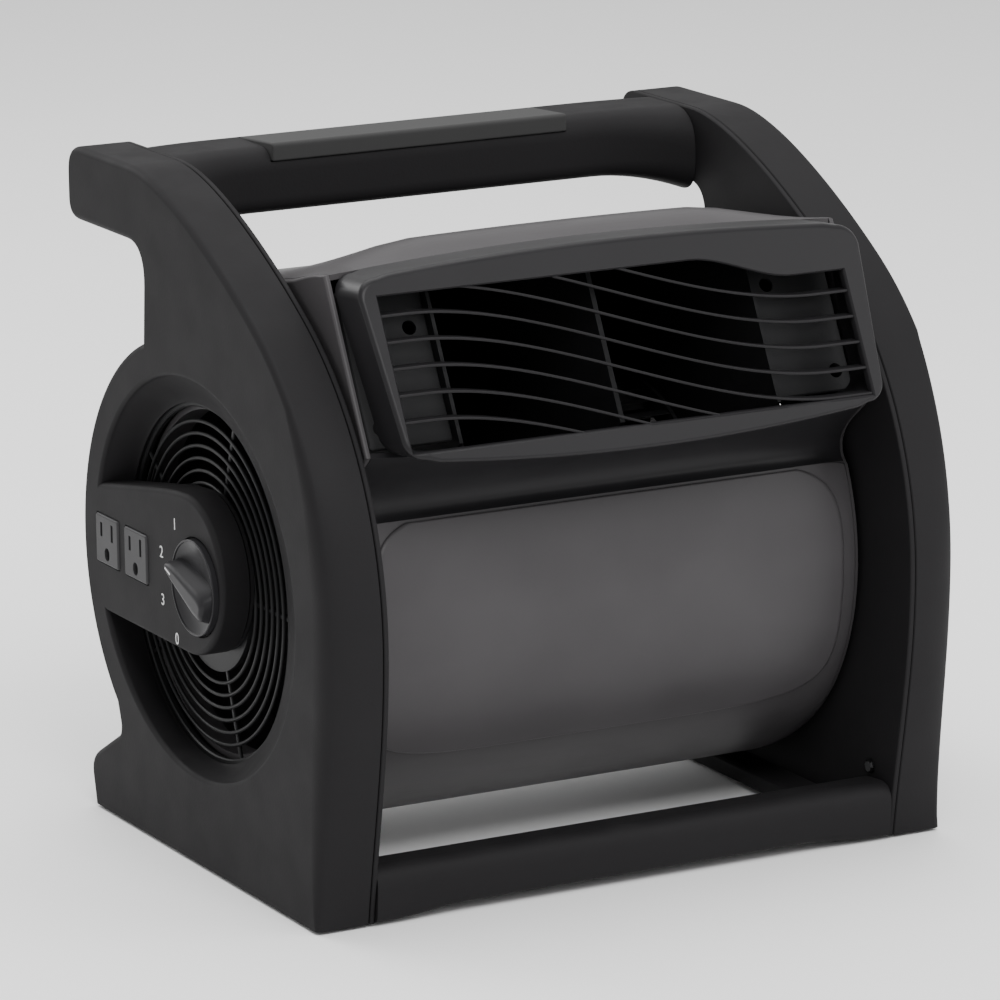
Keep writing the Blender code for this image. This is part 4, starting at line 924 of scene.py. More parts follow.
# ---------------------------------------------------------------- side frames
@dataclass
class SideFrame:
    """One side frame: its crowned band, the dished intake and the plate that closes its inner side."""

    side: Side
    crown: float = 0.047
    band_steps: int = 9
    edge_steps: int = 6
    dish_count: int = 120
    dish_steps: int = 12
    lip: float = 0.0022
    seam: float = 0.0005
    cover_thick: float = 0.0025
    cover_gap: float = 0.0004
    cover_edge: float = 0.0009
    cover_bevel: float = 0.0004
    rail_height: float = 0.009
    rail_tip: float = 0.0035

    def profile(self) -> Outline:
        """The side view, clockwise from the base front."""
        top, floor = SIZES.top, SIZES.floor_lift
        front, base, radius, arc_z = 0.4935 * top, 0.4362 * top, 0.504 * top, 0.4126 * top
        low = bezier((-base, floor), (-base - 0.02 * top, 0.142 * top), (-front, 0.268 * top),
                     (-front, arc_z), 26)
        swell = arc((radius - front, arc_z), radius, 180.0, 123.8, 34)
        last = swell[-1]
        brow = bezier(last, (last[0] + 0.092 * top, last[1] + 0.0615 * top), (0.016 * top, top),
                      (0.142 * top, top), 26)
        neck_y, under, reach = 0.092 * top, 0.890 * top, 0.352 * top
        middle, bulge_radius = (-0.016 * top, 0.425 * top), 0.342 * top
        neck_z = middle[1] + math.sqrt(bulge_radius ** 2 - (neck_y + 0.01 * top - middle[0]) ** 2)
        corners = [brow[-1], (reach, top), (reach, under), (neck_y, under), (neck_y + 0.01 * top, neck_z)]
        rear = rounded(corners, [0.042 * top, 0.033 * top, 0.06 * top], 10)
        start = math.degrees(math.atan2(neck_z - middle[1], neck_y + 0.01 * top - middle[0]))
        bulge = arc(middle, bulge_radius, start, -45.5, 52)
        foot_z = 0.073 * top
        foot = rounded([bulge[-1], (0.209 * top, foot_z + 0.065 * top), (0.326 * top, foot_z),
                        (0.307 * top, floor)], [0.018 * top, 0.032 * top], 8)
        return tidy(low + swell[1:] + brow[1:] + rear[1:-1] + bulge + foot[1:])

    def swelling(self, profile: Outline) -> list[float]:
        """How far the band's crown stands past the side face at each point of the profile."""
        top, floor = SIZES.top, SIZES.floor_lift
        reach = 0.74 * top
        return [self.crown * top * math.sin(math.pi * max(z - floor, 0.0) / reach) ** 0.8
                if y < 0 and z < reach else 0.0 for y, z in profile]

    def section(self, profile: Outline, swelling: list[float], x: float) -> Outline:
        """The frame's outline at one x.

        Args:
            profile: The full side view.
            swelling: The crown's depth at each point.
            x: Distance from the middle of the blower.

        Returns:
            The outline there.
        """
        fullness = SIZES.crown_fullness
        share = min(max((x - SIZES.band_x) / (SIZES.half - SIZES.band_x), 0.0), 1.0)
        bow = 1.0 - max(1.0 - share ** fullness, 0.0) ** (1.0 / fullness)
        edge = min(max((x - (SIZES.half - SIZES.edge_round)) / SIZES.edge_round, 0.0), 1.0)
        turn = SIZES.edge_round * (1.0 - math.sqrt(1.0 - edge * edge))
        moved = inset(profile, [swell * bow + turn for swell in swelling])
        floor = SIZES.floor_lift
        return [(y, floor if old[1] <= floor + WELD else z) for (y, z), old in zip(moved, profile)]

    def stations(self, start: float) -> list[float]:
        """Distances from the middle where the outline is drawn, closer together near the outer edge."""
        half, edge = SIZES.half, SIZES.edge_round
        band = [start + (half - edge - start) * math.sin(QUARTER_TURN * i / self.band_steps)
                for i in range(self.band_steps)]
        turn = [half - edge + edge * math.sin(QUARTER_TURN * i / self.edge_steps)
                for i in range(self.edge_steps + 1)]
        return band + turn

    def dish(self) -> Mould:
        """The intake recess, from the mouth in the side face to the round opening at its floor."""
        sign, top = self.side.value, SIZES.top
        low_x, high_x = SIZES.recess_x + 0.0012, SIZES.half
        centre, opening = (0.0, SIZES.axis_z), SIZES.intake_radius
        mouth, half_y, half_z = (-0.052 * top, 0.4283 * top), 0.326 * top, 0.2913 * top
        seat = ellipse(opening + 0.005, opening + 0.005, self.dish_count, centre)
        mould = Mould()
        sections = [(sign * (SIZES.band_x - 0.003), seat), (sign * (SIZES.recess_x + 0.0002), seat)]
        hole = ellipse(opening, opening, self.dish_count, centre)
        sections.append((sign * (SIZES.recess_x + 0.0003), hole))
        for k in range(self.dish_steps + 1):
            t = k / self.dish_steps
            x = low_x + (high_x - self.lip - low_x) * t ** 1.35
            middle = (mouth[0] * t, centre[1] + (mouth[1] - centre[1]) * t)
            reach_y, reach_z = opening + (half_y - opening) * t, opening + (half_z - opening) * t
            sections.append((sign * x, ellipse(reach_y, reach_z, self.dish_count, middle)))
        for k in range(1, self.edge_steps + 1):
            turn = QUARTER_TURN * k / self.edge_steps
            grow = self.lip * (1.0 - math.cos(turn))
            x = high_x - self.lip + self.lip * math.sin(turn)
            sections.append((sign * x, ellipse(half_y + grow, half_z + grow, self.dish_count, mouth)))
        sections.append((sign * (high_x + 0.003), sections[-1][1]))
        return mould.loft(sections)

    def build(self) -> None:
        """Make the frame's shell and its inner cover."""
        sign, label = self.side.value, self.side.label
        profile = self.profile()
        swelling = self.swelling(profile)
        start = SIZES.band_x + self.cover_thick + self.cover_gap
        sections = [(sign * start, inset(profile, self.seam)), (sign * (start + self.seam), profile)]
        sections += [(sign * x, self.section(profile, swelling, x))
                     for x in self.stations(start) if x > start + self.seam]
        shell = Mould().loft(sections).object(f"{label}_frame_shell")
        carve(shell, self.dish())
        if self.side is Side.LEFT:
            ControlTongue().shape(shell)
        dress(shell, FRAME_PLASTIC, Body.FRAME, f"{label}_side_frame", angle=28.0)
        self.build_cover(profile)

    def build_cover(self, profile: Outline) -> None:
        """Make the plate on the frame's inner side, with the pivot hole and the foot rail.

        Args:
            profile: The frame's side view.
        """
        sign, label, inner = self.side.value, self.side.label, SIZES.band_x
        edge, thick = self.cover_edge, self.cover_thick
        sections = []
        for k in range(5):
            turn = QUARTER_TURN * k / 4
            moved = inset(profile, edge * (1.0 - math.sin(turn)))
            fixed = [(y, SIZES.floor_lift if old[1] <= SIZES.floor_lift + WELD else z)
                     for (y, z), old in zip(moved, profile)]
            sections.append((sign * (inner + edge * (1.0 - math.cos(turn))), fixed))
        sections.append((sign * (inner + thick - self.cover_bevel), profile))
        sections.append((sign * (inner + thick), inset(profile, self.cover_bevel)))
        cover = Mould().loft(sections).object(f"{label}_inner_plate")
        carve(cover, self.foot_rail(), "UNION")
        hole = SIZES.intake_radius
        ring = ellipse(hole, hole, self.dish_count, (0.0, SIZES.axis_z))
        lip = ellipse(hole + 0.0012, hole + 0.0012, self.dish_count, (0.0, SIZES.axis_z))
        carve(cover, Mould().loft([(sign * (inner - 0.004), lip), (sign * (inner - 0.0001), lip),
                                   (sign * (inner + 0.0011), ring), (sign * (inner + 0.008), ring)]))
        dress(cover, FRAME_PLASTIC, Body.FRAME, f"{label}_inner_cover", angle=28.0)

    def foot_rail(self) -> Mould:
        """The rail on the cover's inner face that runs from the cross bar to the rear foot."""
        sign, inner = self.side.value, SIZES.band_x
        front = -SIZES.bar_front + BAR_DEPTH + 0.003
        rear = 0.297 * SIZES.top
        middle = ((front + rear) / 2, SIZES.floor_lift + self.rail_height / 2)
        length, root = rear - front, inner - FOOT_RAIL_WIDTH + self.rail_tip
        rings = [(sign * x, soft_box(middle, length, self.rail_height, 0.0022))
                 for x in (inner + 0.0015, root)]
        for k in range(1, 5):
            turn = QUARTER_TURN * k / 4
            shrink = 0.0021 * (1.0 - math.cos(turn))
            tip = soft_box(middle, length - 2 * shrink, self.rail_height - 2 * shrink, 0.0023 - shrink)
            rings.append((sign * (root - self.rail_tip * math.sin(turn)), tip))
        return Mould().loft(rings)


# ---------------------------------------------------------------- controls
@dataclass
class ControlTongue:
    """The tongue across the left intake with its knob, numbers and socket outlets."""

    outlet_width: float = 0.0245
    outlet_height: float = 0.0235
    outlet_spacing: float = 0.007
    window_gap: float = 0.0008
    knob_radius: float = 0.021
    cap_radius: float = 0.0223
    knob_height: float = 0.0062
    pointer_angle: float = 21.0

    def outline(self, margin: float) -> Outline:
        """The tongue's side view, pulled in by a margin."""
        top = SIZES.top
        y, z = SIZES.tongue
        radius = max(0.118 * top, self.knob_radius + 0.012)
        rear = -0.052 * top + 0.326 * top + 0.005
        nose = arc((y, z), radius - margin, 270.0, 90.0, 48)
        upper = bezier((y, z + radius - margin), (y + 0.55 * radius, z + radius - margin),
                       (rear - 1.1 * radius, z + 0.76 * radius - margin),
                       (rear - margin, z + 0.60 * radius - margin), 20)
        return nose + upper[1:] + [(rear - margin, z - radius + margin)]

    def outlets(self) -> list[tuple[str, Point]]:
        """Name and centre of each socket outlet."""
        rear = 0.274 * SIZES.top
        first = rear - self.outlet_width * 1.5 - self.outlet_spacing
        z = SIZES.tongue[1] - 0.0025
        second = first + self.outlet_width + self.outlet_spacing
        return [("front_outlet", (first, z)), ("rear_outlet", (second, z))]

    def shape(self, shell: bpy.types.Object) -> None:
        """Join the tongue to the left frame and cut its windows.

        Args:
            shell: The left frame's shell.
        """
        half, edge = SIZES.half, 0.0026
        sections = [(-(SIZES.recess_x + 0.0025), self.outline(0.0))]
        for k in range(7):
            turn = QUARTER_TURN * k / 6
            margin = edge * (1.0 - math.cos(turn))
            sections.append((-(half - edge + edge * math.sin(turn)), self.outline(margin)))
        carve(shell, Mould().loft(sections), "UNION")
        for _, centre in self.outlets():
            width, height = self.outlet_width + self.window_gap, self.outlet_height + self.window_gap
            window = soft_box(centre, width, height, 0.0012)
            carve(shell, Mould().loft([(-half - 0.003, window), (-half + 0.006, window)]))
        knob = Mould()
        rim = self.cap_radius + 0.0006
        knob.lathe([(-half - 0.002, 0), (-half - 0.002, rim + 0.0004), (-half, rim + 0.0004),
                    (-half + 0.0006, rim), (-half + 0.0011, rim - 0.0004), (-half + 0.0011, 0)],
                   96, SIZES.knob)
        carve(shell, knob)

    def build(self) -> None:
        """Make the outlets, the knob and the numbers."""
        for name, centre in self.outlets():
            self.build_outlet(name, centre)
        self.build_knob()
        self.build_numbers()

    def build_outlet(self, name: str, centre: Point) -> None:
        """Make one socket outlet.

        Args:
            name: The CAD node it stands for.
            centre: Its middle in the side view.
        """
        half = SIZES.half
        width, height, edge = self.outlet_width, self.outlet_height, 0.0011
        sections = [(-half + 0.0095, soft_box(centre, width, height, 0.0009))]
        face = half + 0.0009
        for k in range(6):
            turn = QUARTER_TURN * k / 5
            shrink = edge * (1.0 - math.cos(turn))
            sections.append((-(face - edge + edge * math.sin(turn)),
                             soft_box(centre, width - 2 * shrink, height - 2 * shrink, 0.0014)))
        body = Mould().loft(sections).object(f"{name}_face")
        y, z = centre
        for shift, tall in ((-0.0058, 0.0082), (0.0058, 0.0068)):
            slot = soft_box((y + shift, z + 0.0046), 0.0023, tall, 0.0003)
            carve(body, Mould().loft([(-half - 0.003, slot), (-half + 0.007, slot)]))
        earth = 0.0026
        arch = arc((y, z - 0.0060), earth, 180.0, 0.0, 17) + arc((y, z - 0.0070), earth, 0.0, -180.0, 17)
        carve(body, Mould().loft([(-half - 0.003, arch), (-half + 0.007, arch)]))
        dress(body, OUTLET_PLASTIC, Body.FRAME, name)

    def build_knob(self) -> None:
        """Make the knob: a thin rim round two sunken bowls, a raised grip and a pointer line."""
        half = SIZES.half
        radius, rise, bead = self.cap_radius, 0.0027, 0.0006
        disc = [(-half + 0.0008, 0.0), (-half + 0.0008, radius)]
        for k in range(9):
            turn = math.pi * k / 8
            disc.append((-half - rise + bead * (1.0 - math.sin(turn)),
                         radius - bead * (1.0 - math.cos(turn))))
        for k in range(1, 13):
            share = k / 12
            disc.append((-half - (rise - bead) * (1.0 - share) ** 2 + 0.0002 * share,
                         radius - 0.0013 - 0.0105 * share))
        disc.append((-half + 0.0002, 0.0))
        knob = Mould().lathe(disc, 128, SIZES.knob).object("speed_knob_cap")
        tilt = math.radians(self.pointer_angle)
        along = Vector((math.cos(tilt), math.sin(tilt)))
        across = Vector((-along.y, along.x))
        grip = Mould()
        rings = []
        spindle_low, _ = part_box("knob_spindle")
        top = max(self.knob_height, SIZES.shift.x - spindle_low.x - half + 0.0007)
        LOG.info("the grip stands %.1f mm off the tongue", top * 1000)
        for height, width, reach in ((-0.0004, 0.0078, 0.0212), (rise * 0.6, 0.0070, 0.0211),
                                     (top - 0.0020, 0.0052, 0.0208), (top - 0.0007, 0.0040, 0.0202),
                                     (top - 0.0002, 0.0030, 0.0194), (top, 0.0020, 0.0186)):
            points = []
            for i in range(64):
                turn = math.pi - math.tau * i / 64
                a = reach * math.copysign(abs(math.cos(turn)) ** 0.35, math.cos(turn))
                b = width * math.copysign(abs(math.sin(turn)) ** 0.75, math.sin(turn))
                b *= 1.0 - 0.42 * (a / reach)
                p = along * a + across * b
                points.append((-half - height, SIZES.knob[0] + p.x, SIZES.knob[1] + p.y))
            rings.append(grip.ring(points))
        grip.skin(rings)
        carve(knob, grip, "UNION")
        dress(knob, KNOB_PLASTIC, Body.KNOB, "speed_knob", angle=38.0)
        line = Mould()
        rings = []
        start, end, breadth = along * 0.0125, along * 0.0182, across * 0.0004
        corners = (start - breadth, start + breadth, end + breadth, end - breadth)
        for height in (top - 0.0006, top + 0.0001):
            rings.append(line.ring([(-half - height, SIZES.knob[0] + p.x, SIZES.knob[1] + p.y)
                                    for p in corners]))
        line.skin(rings)
        dress(line.object("knob_pointer_line"), INK, Body.KNOB)

    def build_numbers(self) -> None:
        """Print the speed numbers round the knob."""
        for text, across, rise in (("1", 0.0225, 0.0245), ("2", 0.0375, 0.0083), ("3", 0.0370, -0.0142),
                                   ("0", 0.0225, -0.0295)):
            curve = bpy.data.curves.new(f"number_{text}", "FONT")
            curve.body = text
            curve.size = 0.0078
            curve.align_x = "CENTER"
            curve.align_y = "CENTER"
            curve.extrude = 0.00005
            drawn = bpy.data.objects.new(f"number_{text}_drawn", curve)
            bpy.context.scene.collection.objects.link(drawn)
            bpy.context.view_layer.update()
            mesh = bpy.data.meshes.new_from_object(drawn)
            bpy.data.objects.remove(drawn, do_unlink=True)
            y, z = SIZES.knob[0] + across, SIZES.knob[1] + rise
            place = Matrix(((0.0, 0.0, -1.0, -SIZES.half - 0.00008 + SIZES.shift.x),
                            (-1.0, 0.0, 0.0, y + SIZES.shift.y), (0.0, 1.0, 0.0, z), (0.0, 0.0, 0.0, 1.0)))
            mesh.transform(place)
            number = bpy.data.objects.new(f"speed_number_{text}", mesh)
            bpy.context.scene.collection.objects.link(number)
            dress(number, INK, Body.FRAME)


# ---------------------------------------------------------------- intake grilles and wheels
@dataclass
class IntakeGrille:
    """Concentric rings on spokes, with a domed hub."""

    side: Side
    rings: int = 6
    spokes: int = 5
    wire: float = 0.00095
    depth: float = 0.0027

    def build(self) -> None:
        """Make the grille as one piece."""
        sign, label, top = self.side.value, self.side.label, SIZES.top
        face = SIZES.recess_x - GAP
        centre = (0.0, SIZES.axis_z)
        inner, outer = 0.1455 * top, SIZES.intake_radius
        spread = (outer - 0.0085 - inner) / (self.rings - 1)
        hub = inner - 0.0052
        dome = 0.0004 if self.side is Side.LEFT else 0.0026
        grille = Mould()
        profile = [(sign * (face - self.depth), 0.0), (sign * (face - self.depth), hub),
                   (sign * (face - 0.0006), hub)]
        for k in range(1, 13):
            turn = QUARTER_TURN * k / 12
            radius = hub * math.cos(turn) if k < 12 else 0.0
            profile.append((sign * (face - 0.0006 + (dome + 0.0006) * math.sin(turn)), radius))
        grille.lathe(profile, 96, centre)
        grille.lathe([(sign * face, outer + 0.0044), (sign * (face - self.depth), outer + 0.0044),
                      (sign * (face - self.depth), outer - 0.002), (sign * (face - 0.0006), outer - 0.002),
                      (sign * face, outer - 0.0014)], 120, centre)
        body = grille.object(f"{label}_intake_rings")
        join_into(body, self.ring_stack(sign * (face - 0.0008), inner, spread),
                  self.spoke_array(sign, face, hub, outer))
        dress(body, GRILLE_PLASTIC, Body.FRAME, f"{label}_intake_grille")

    def ring_stack(self, x: float, inner: float, spread: float) -> bpy.types.Object:
        """The concentric rings.

        Args:
            x: Where their middles lie.
            inner: Radius of the smallest.
            spread: Step from one to the next.

        Returns:
            The rings as one object.
        """
        pattern = Pattern(f"{self.side.label}_rings", GRILLE_PLASTIC)
        count = pattern.given("Rings", self.rings, "NodeSocketInt")
        smallest = pattern.given("Inner Radius", inner)
        pitch = pattern.given("Pitch", spread)
        wire = pattern.given("Wire Radius", self.wire)
        points = pattern.node("GeometryNodeMeshLine", {"Count": count, "Offset": (0.0, 0.0, 0.0)})
        circle = pattern.node("GeometryNodeCurvePrimitiveCircle", {"Resolution": 128, "Radius": 1.0})
        index = pattern.node("GeometryNodeInputIndex", {}).outputs[0]
        radius = pattern.math("ADD", smallest, pattern.math("MULTIPLY", index, pitch))
        placed = pattern.node("GeometryNodeInstanceOnPoints", {
            "Points": points.outputs["Mesh"], "Instance": circle.outputs["Curve"], "Scale": radius})
        curves = pattern.node("GeometryNodeRealizeInstances", {"Geometry": placed.outputs["Instances"]})
        section = pattern.node("GeometryNodeCurvePrimitiveCircle", {"Resolution": 10, "Radius": wire})
        tube = pattern.node("GeometryNodeCurveToMesh", {
            "Curve": curves.outputs["Geometry"], "Profile Curve": section.outputs["Curve"],
            "Fill Caps": False})
        centre = SIZES.shift + Vector((x, 0.0, SIZES.axis_z))
        moved = pattern.node("GeometryNodeTransform", {
            "Geometry": tube.outputs["Mesh"], "Translation": tuple(centre),
            "Rotation": (0.0, QUARTER_TURN, 0.0)})
        return pattern.run(moved.outputs["Geometry"])

    def spoke_array(self, sign: int, face: float, hub: float, outer: float) -> bpy.types.Object:
        """The radial spokes.

        Args:
            sign: Side of the blower.
            face: Distance of the grille's front from the middle.
            hub: Hub radius.
            outer: Radius where the spokes end.

        Returns:
            The spokes as one object.
        """
        spoke = Mould()
        middle, length = (hub - 0.002 + outer) / 2, outer - hub + 0.002
        spoke.loft([(sign * (face - 0.0026), soft_box((middle, 0.0), length, 0.0022, 0.0004, 2)),
                    (sign * (face - 0.0016), soft_box((middle, 0.0), length, 0.0022, 0.0004, 2)),
                    (sign * (face - 0.0012), soft_box((middle, 0.0), length, 0.0014, 0.0004, 2))])
        return round_array(f"{self.side.label}_spokes", GRILLE_PLASTIC, spoke, self.spokes, 36.0)


@dataclass
class BlowerWheel:
    """A squirrel-cage wheel: back disc, hub, front ring and forward-curved blades."""

    side: Side
    blades: int = 42
    thick: float = 0.0011

    def build(self) -> None:
        """Make the wheel as one piece."""
        sign, label = self.side.value, self.side.label
        low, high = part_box(f"{label}_blower_wheel")
        radius = (high.z - low.z) / 2
        near, far = sorted((abs(low.x - SIZES.shift.x), abs(high.x - SIZES.shift.x)))
        inner, hub, bore = radius - 0.012, 0.0104, 0.0044
        centre = (0.0, SIZES.axis_z)
        wheel = Mould()
        wheel.lathe([(sign * near, bore), (sign * near, radius - 0.0004), (sign * (near + 0.0004), radius),
                     (sign * (near + 0.0018), radius), (sign * (near + 0.002), hub + 0.006),
                     (sign * (near + 0.0045), hub + 0.0012), (sign * (near + 0.0155), hub),
                     (sign * (near + 0.016), hub - 0.0005), (sign * (near + 0.016), bore)], 96, centre)
        wheel.lathe([(sign * (far - 0.002), radius), (sign * far, radius), (sign * far, inner),
                     (sign * (far - 0.002), inner)], 96, centre)
        body = wheel.object(f"{label}_cage_wheel")
        blade = Mould()
        steps = 6
        rows: list[Outline] = []
        for offset in (-self.thick / 2, self.thick / 2):
            row: Outline = []
            for k in range(steps + 1):
                share = k / steps
                reach = inner + 0.0005 + (radius - inner - 0.001) * share
                turn = 0.17 * share * share + offset / reach
                row.append((reach * math.cos(turn), reach * math.sin(turn)))
            rows.append(row)
        outline = rows[0] + rows[1][::-1]
        blade.loft([(sign * (near + 0.001), outline), (sign * (far - 0.001), outline)])
        join_into(body, round_array(f"{label}_blades", WHEEL_PLASTIC, blade, self.blades))
        dress(body, WHEEL_PLASTIC, Body.IMPELLER, f"{label}_blower_wheel")


# ---------------------------------------------------------------- bars
@dataclass
class Bars:
    """The handle bar with its grip, and the front cross bar."""

    count: int = 44
    left_flare: float = 0.034
    right_flare: float = 0.048
    sill: float = 0.0068

    def handle(self) -> None:
        """Make the handle bar and its softer grip."""
        top = SIZES.top
        end = SIZES.band_x - GAP
        front, rear, bottom = 0.158 * top, 0.302 * top, 0.902 * top
        sections = []
        for i in range(self.count + 1):
            x = -end + 2 * end * i / self.count
            left = max(0.0, 1.0 - (x + end) / self.left_flare)
            right = max(0.0, 1.0 - (end - x) / self.right_flare)
            flare = left ** 2.2 + right ** 2.0
            outline = self.bar_section(front - 0.012 * flare, rear + 0.004 * flare, bottom - 0.009 * flare,
                                       top - 0.0004, 0.011 + 0.009 * flare)
            sections.append((x, outline))
        bar = Mould().loft(sections).object("handle_beam")
        half, right = 0.64 * SIZES.band_x, 0.52 * SIZES.band_x
        sill = top - self.sill
        pocket = self.bar_section(front - 0.006, rear - 0.010, sill, top + 0.012, 0.0008)
        carve(bar, Mould().loft([(-half - GAP, pocket), (right + GAP, pocket)]))
        dress(bar, FRAME_PLASTIC, Body.FRAME, "handle_bar", angle=28.0)

        _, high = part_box("handle_grip")
        face, back = front - 0.0007, rear - 0.0103
        base, crest = sill + GAP, high.z
        middle = (face + back) / 2
        corners = [(middle, base), (face, base), (face, crest), (back, crest - 0.0022), (back, base),
                   (middle, base)]
        outline = tidy(rounded(corners, [0.0010, 0.0022, 0.0022, 0.0010], 12)[:-1])
        rings = []
        for k in range(6):
            turn = QUARTER_TURN * (5 - k) / 5
            margin = 0.0009 * (1.0 - math.cos(turn))
            rings.append((-half + 0.0012 * (1.0 - math.sin(turn)), inset(outline, margin)))
        full = rings + [(right - half - x, points) for x, points in rings[::-1]]
        dress(Mould().loft(full).object("handle_grip_sleeve"), GRIP_RUBBER, Body.FRAME, "handle_grip")

    def bar_section(self, front: float, rear: float, bottom: float, top: float, soft: float) -> Outline:
        """A bar's section with soft corners."""
        middle = (front + rear) / 2
        corners = [(middle, bottom), (front, bottom), (front, top), (rear, top), (rear, bottom),
                   (middle, bottom)]
        return rounded(corners, [soft * 0.7, soft, soft, soft * 0.8], 10)[:-1]

    def cross_bar(self) -> None:
        """Make the front cross bar, arched a little off the floor."""
        floor, front, crest = SIZES.floor_lift, SIZES.bar_front, 0.0880 * SIZES.top
        end = SIZES.band_x - GAP
        count = 48
        sections = []
        for i in range(count + 1):
            share = -1.0 + 2.0 * i / count
            rise = min(max((0.95 - abs(share)) / 0.30, 0.0), 1.0)
            low = floor + 0.003 * rise * rise * (3 - 2 * rise)
            rear = -front + BAR_DEPTH
            outline = rounded([((rear - front) / 2, low), (-front + 0.002, low), (-front, crest),
                               (rear, crest - 0.002), (rear, low), ((rear - front) / 2, low)],
                              [0.004, 0.011, 0.005, 0.003], 10)[:-1]
            sections.append((share * end, outline))
        beam = Mould().loft(sections).object("front_cross_beam")
        dress(beam, FRAME_PLASTIC, Body.FRAME, "front_cross_bar", angle=28.0)


# ---------------------------------------------------------------- drum
@dataclass
class Drum:
    """The drum's two shells, the raised front panel and the end plates with their journals."""

    wall: float = 0.0025
    top_angle: float = 25.0
    seam_angle: float = 255.0
    roll: float = 0.0055
    roll_start: float = 0.113
    top_bow: float = 0.0045
    low_bow: float = 0.0060
    hump: float = 0.0085

    def nozzle_frame(self) -> tuple[Vector, Vector, Vector, float]:
        """The nozzle face: upper edge, direction down it, direction into the drum, and its length."""
        top = SIZES.top
        upper = Vector((-0.3685 * top, 0.909 * top))
        down = Vector((-0.4882 * top, 0.6724 * top)) - upper
        length = down.length
        down.normalize()
        return upper, down, Vector((-down.y, down.x)), length

    @property
    def nozzle_back(self) -> Vector:
        """Direction in which the nozzle's walls run back from its face."""
        return Vector((0.9967, -0.0815)).normalized()

    def mouth(self) -> tuple[Vector, Vector]:
        """Upper and lower edge of the plane where the drum ends and the nozzle starts."""
        upper, down, _, length = self.nozzle_frame()
        back = self.nozzle_back * SIZES.nozzle_depth
        return upper + back, upper + down * length + back

    def outlines(self) -> tuple[Outline, Outline, Outline]:
        """The front, bottom to panel top; the hollow under the nozzle; the rear, nozzle back to bottom."""
        upper, lower = self.mouth()
        axis_z, radius = SIZES.axis_z, SIZES.drum_radius
        centre = (SIZES.drum_y, axis_z)
        front = arc(centre, radius, self.seam_angle, 180.0 - self.top_angle, 64)
        corner = front[-1]
        recess = bezier(corner, (corner[0] + 0.012, corner[1] + 0.007), (lower.x + 0.013, lower.y - 0.013),
                        (lower.x, lower.y), 22)
        scroll_top = 0.4488 * SIZES.top
        crest = (0.0, axis_z + scroll_top)
        top = bezier((upper.x, upper.y), (upper.x + 0.036, upper.y - 0.0035),
                     (-0.030, crest[1] + 0.0045), crest, 26)
        start = math.hypot(radius, SIZES.drum_y)
        rear: Outline = []
        steps = 60
        for i in range(1, steps + 1):
            angle = 90.0 - 180.0 * i / steps
            reach = start + (scroll_top - start) * ((angle + 90.0) / 180.0) ** 2.2
            turn = math.radians(angle)
            rear.append((reach * math.cos(turn), axis_z + reach * math.sin(turn)))
        tail = arc(centre, radius, 270.0, self.seam_angle + 0.2, 6)
        return front, recess, tidy(top + rear + tail[1:])

    def bowed(self, points: Outline, x: float) -> Outline:
        """Swell the mouth towards the middle of the width."""
        upper, lower = self.mouth()
        _, down, _, _ = self.nozzle_frame()
        share = max(1.0 - (x / SIZES.shell_x) ** 2, 0.0)
        inner = min(max((0.130 - abs(x)) / 0.062, 0.0), 1.0)
        hump = self.hump * inner * inner * (3 - 2 * inner)
        result: Outline = []
        for y, z in points:
            if upper.x < y < 0 and z > (lower.y + upper.y) / 2:
                z += hump * math.sin(math.pi * (y / upper.x) ** 1.6)
            near_top = max(0.0, 1.0 - math.hypot(y - upper.x, z - upper.y) / (0.30 * SIZES.top)) ** 1.5
            near_low = max(0.0, 1.0 - math.hypot(y - lower.x, z - lower.y) / (0.085 * SIZES.top)) ** 1.5
            shift = 0.0
            if near_top > 0 and z > (lower.y + upper.y) / 2:
                shift = -self.top_bow * share * near_top
            elif near_low > 0:
                shift = self.low_bow * share * near_low
            result.append((y + down.x * shift, z + down.y * shift))
        return result

    def rolled(self, points: Outline, x: float) -> list[float]:
        """How far the drum's surface rolls in near its ends, point by point; none at the nozzle."""
        upper, lower = self.mouth()
        end = SIZES.drum_end_x
        share = min(max((abs(x) - self.roll_start) / (end - self.roll_start), 0.0), 0.985)
        depth = self.roll * (1.0 - math.sqrt(1.0 - share * share))
        result = []
        for y, z in points:
            away = min(math.hypot(y - upper.x, z - upper.y), math.hypot(y - lower.x, z - lower.y))
            fade = min(max((away - 0.004) / 0.035, 0.0), 1.0)
            result.append(depth * fade * fade * (3 - 2 * fade))
        return result

    def stations(self) -> list[float]:
        """Distances along x where the shells are drawn."""
        half = SIZES.shell_x
        inner = [self.roll_start * (-1.0 + 2.0 * i / 16) for i in range(17)]
        edge = [self.roll_start + (half - self.roll_start) * math.sin(QUARTER_TURN * i / 8)
                for i in range(1, 9)]
        return [-x for x in edge[::-1]] + inner + edge

    def build(self) -> None:
        """Make every drum piece."""
        front, hollow, rear = self.outlines()
        # The hollow from the panel's top edge up to the nozzle's lower lip is the drum's grey shell, but it
        # gets the black nozzle finish as painted shade: the shadow under the nozzle's overhang.
        for name, finish, nodes, points in (("drum_front_skin", DRUM_PLASTIC, ["drum_front_shell"], front),
                                            ("nozzle_underside", NOZZLE_PLASTIC, [], hollow),
                                            ("drum_rear_skin", DRUM_PLASTIC, ["drum_rear_shell"], rear)):
            sections = []
            for x in self.stations():
                outer = inset(self.bowed(points, x), self.rolled(points, x), closed=False)
                sections.append((x, outer + inset(outer, self.wall, closed=False)[::-1]))
            dress(Mould().loft(sections).object(name), finish, Body.HEAD, *nodes)
        self.panel()
        for side in Side:
            self.end_plate(side, front + hollow[1:] + rear)

    def panel(self) -> None:
        """Make the raised patch wrapped on the drum's front."""
        half_x, middle, half_angle, power = 0.945 * SIZES.shell_x, -4.5, 31.5, 0.364
        radius, rise, border = SIZES.drum_radius, 0.0013, 0.0016 / half_x * 1.6
        count, steps = 200, 14
        mould = Mould()

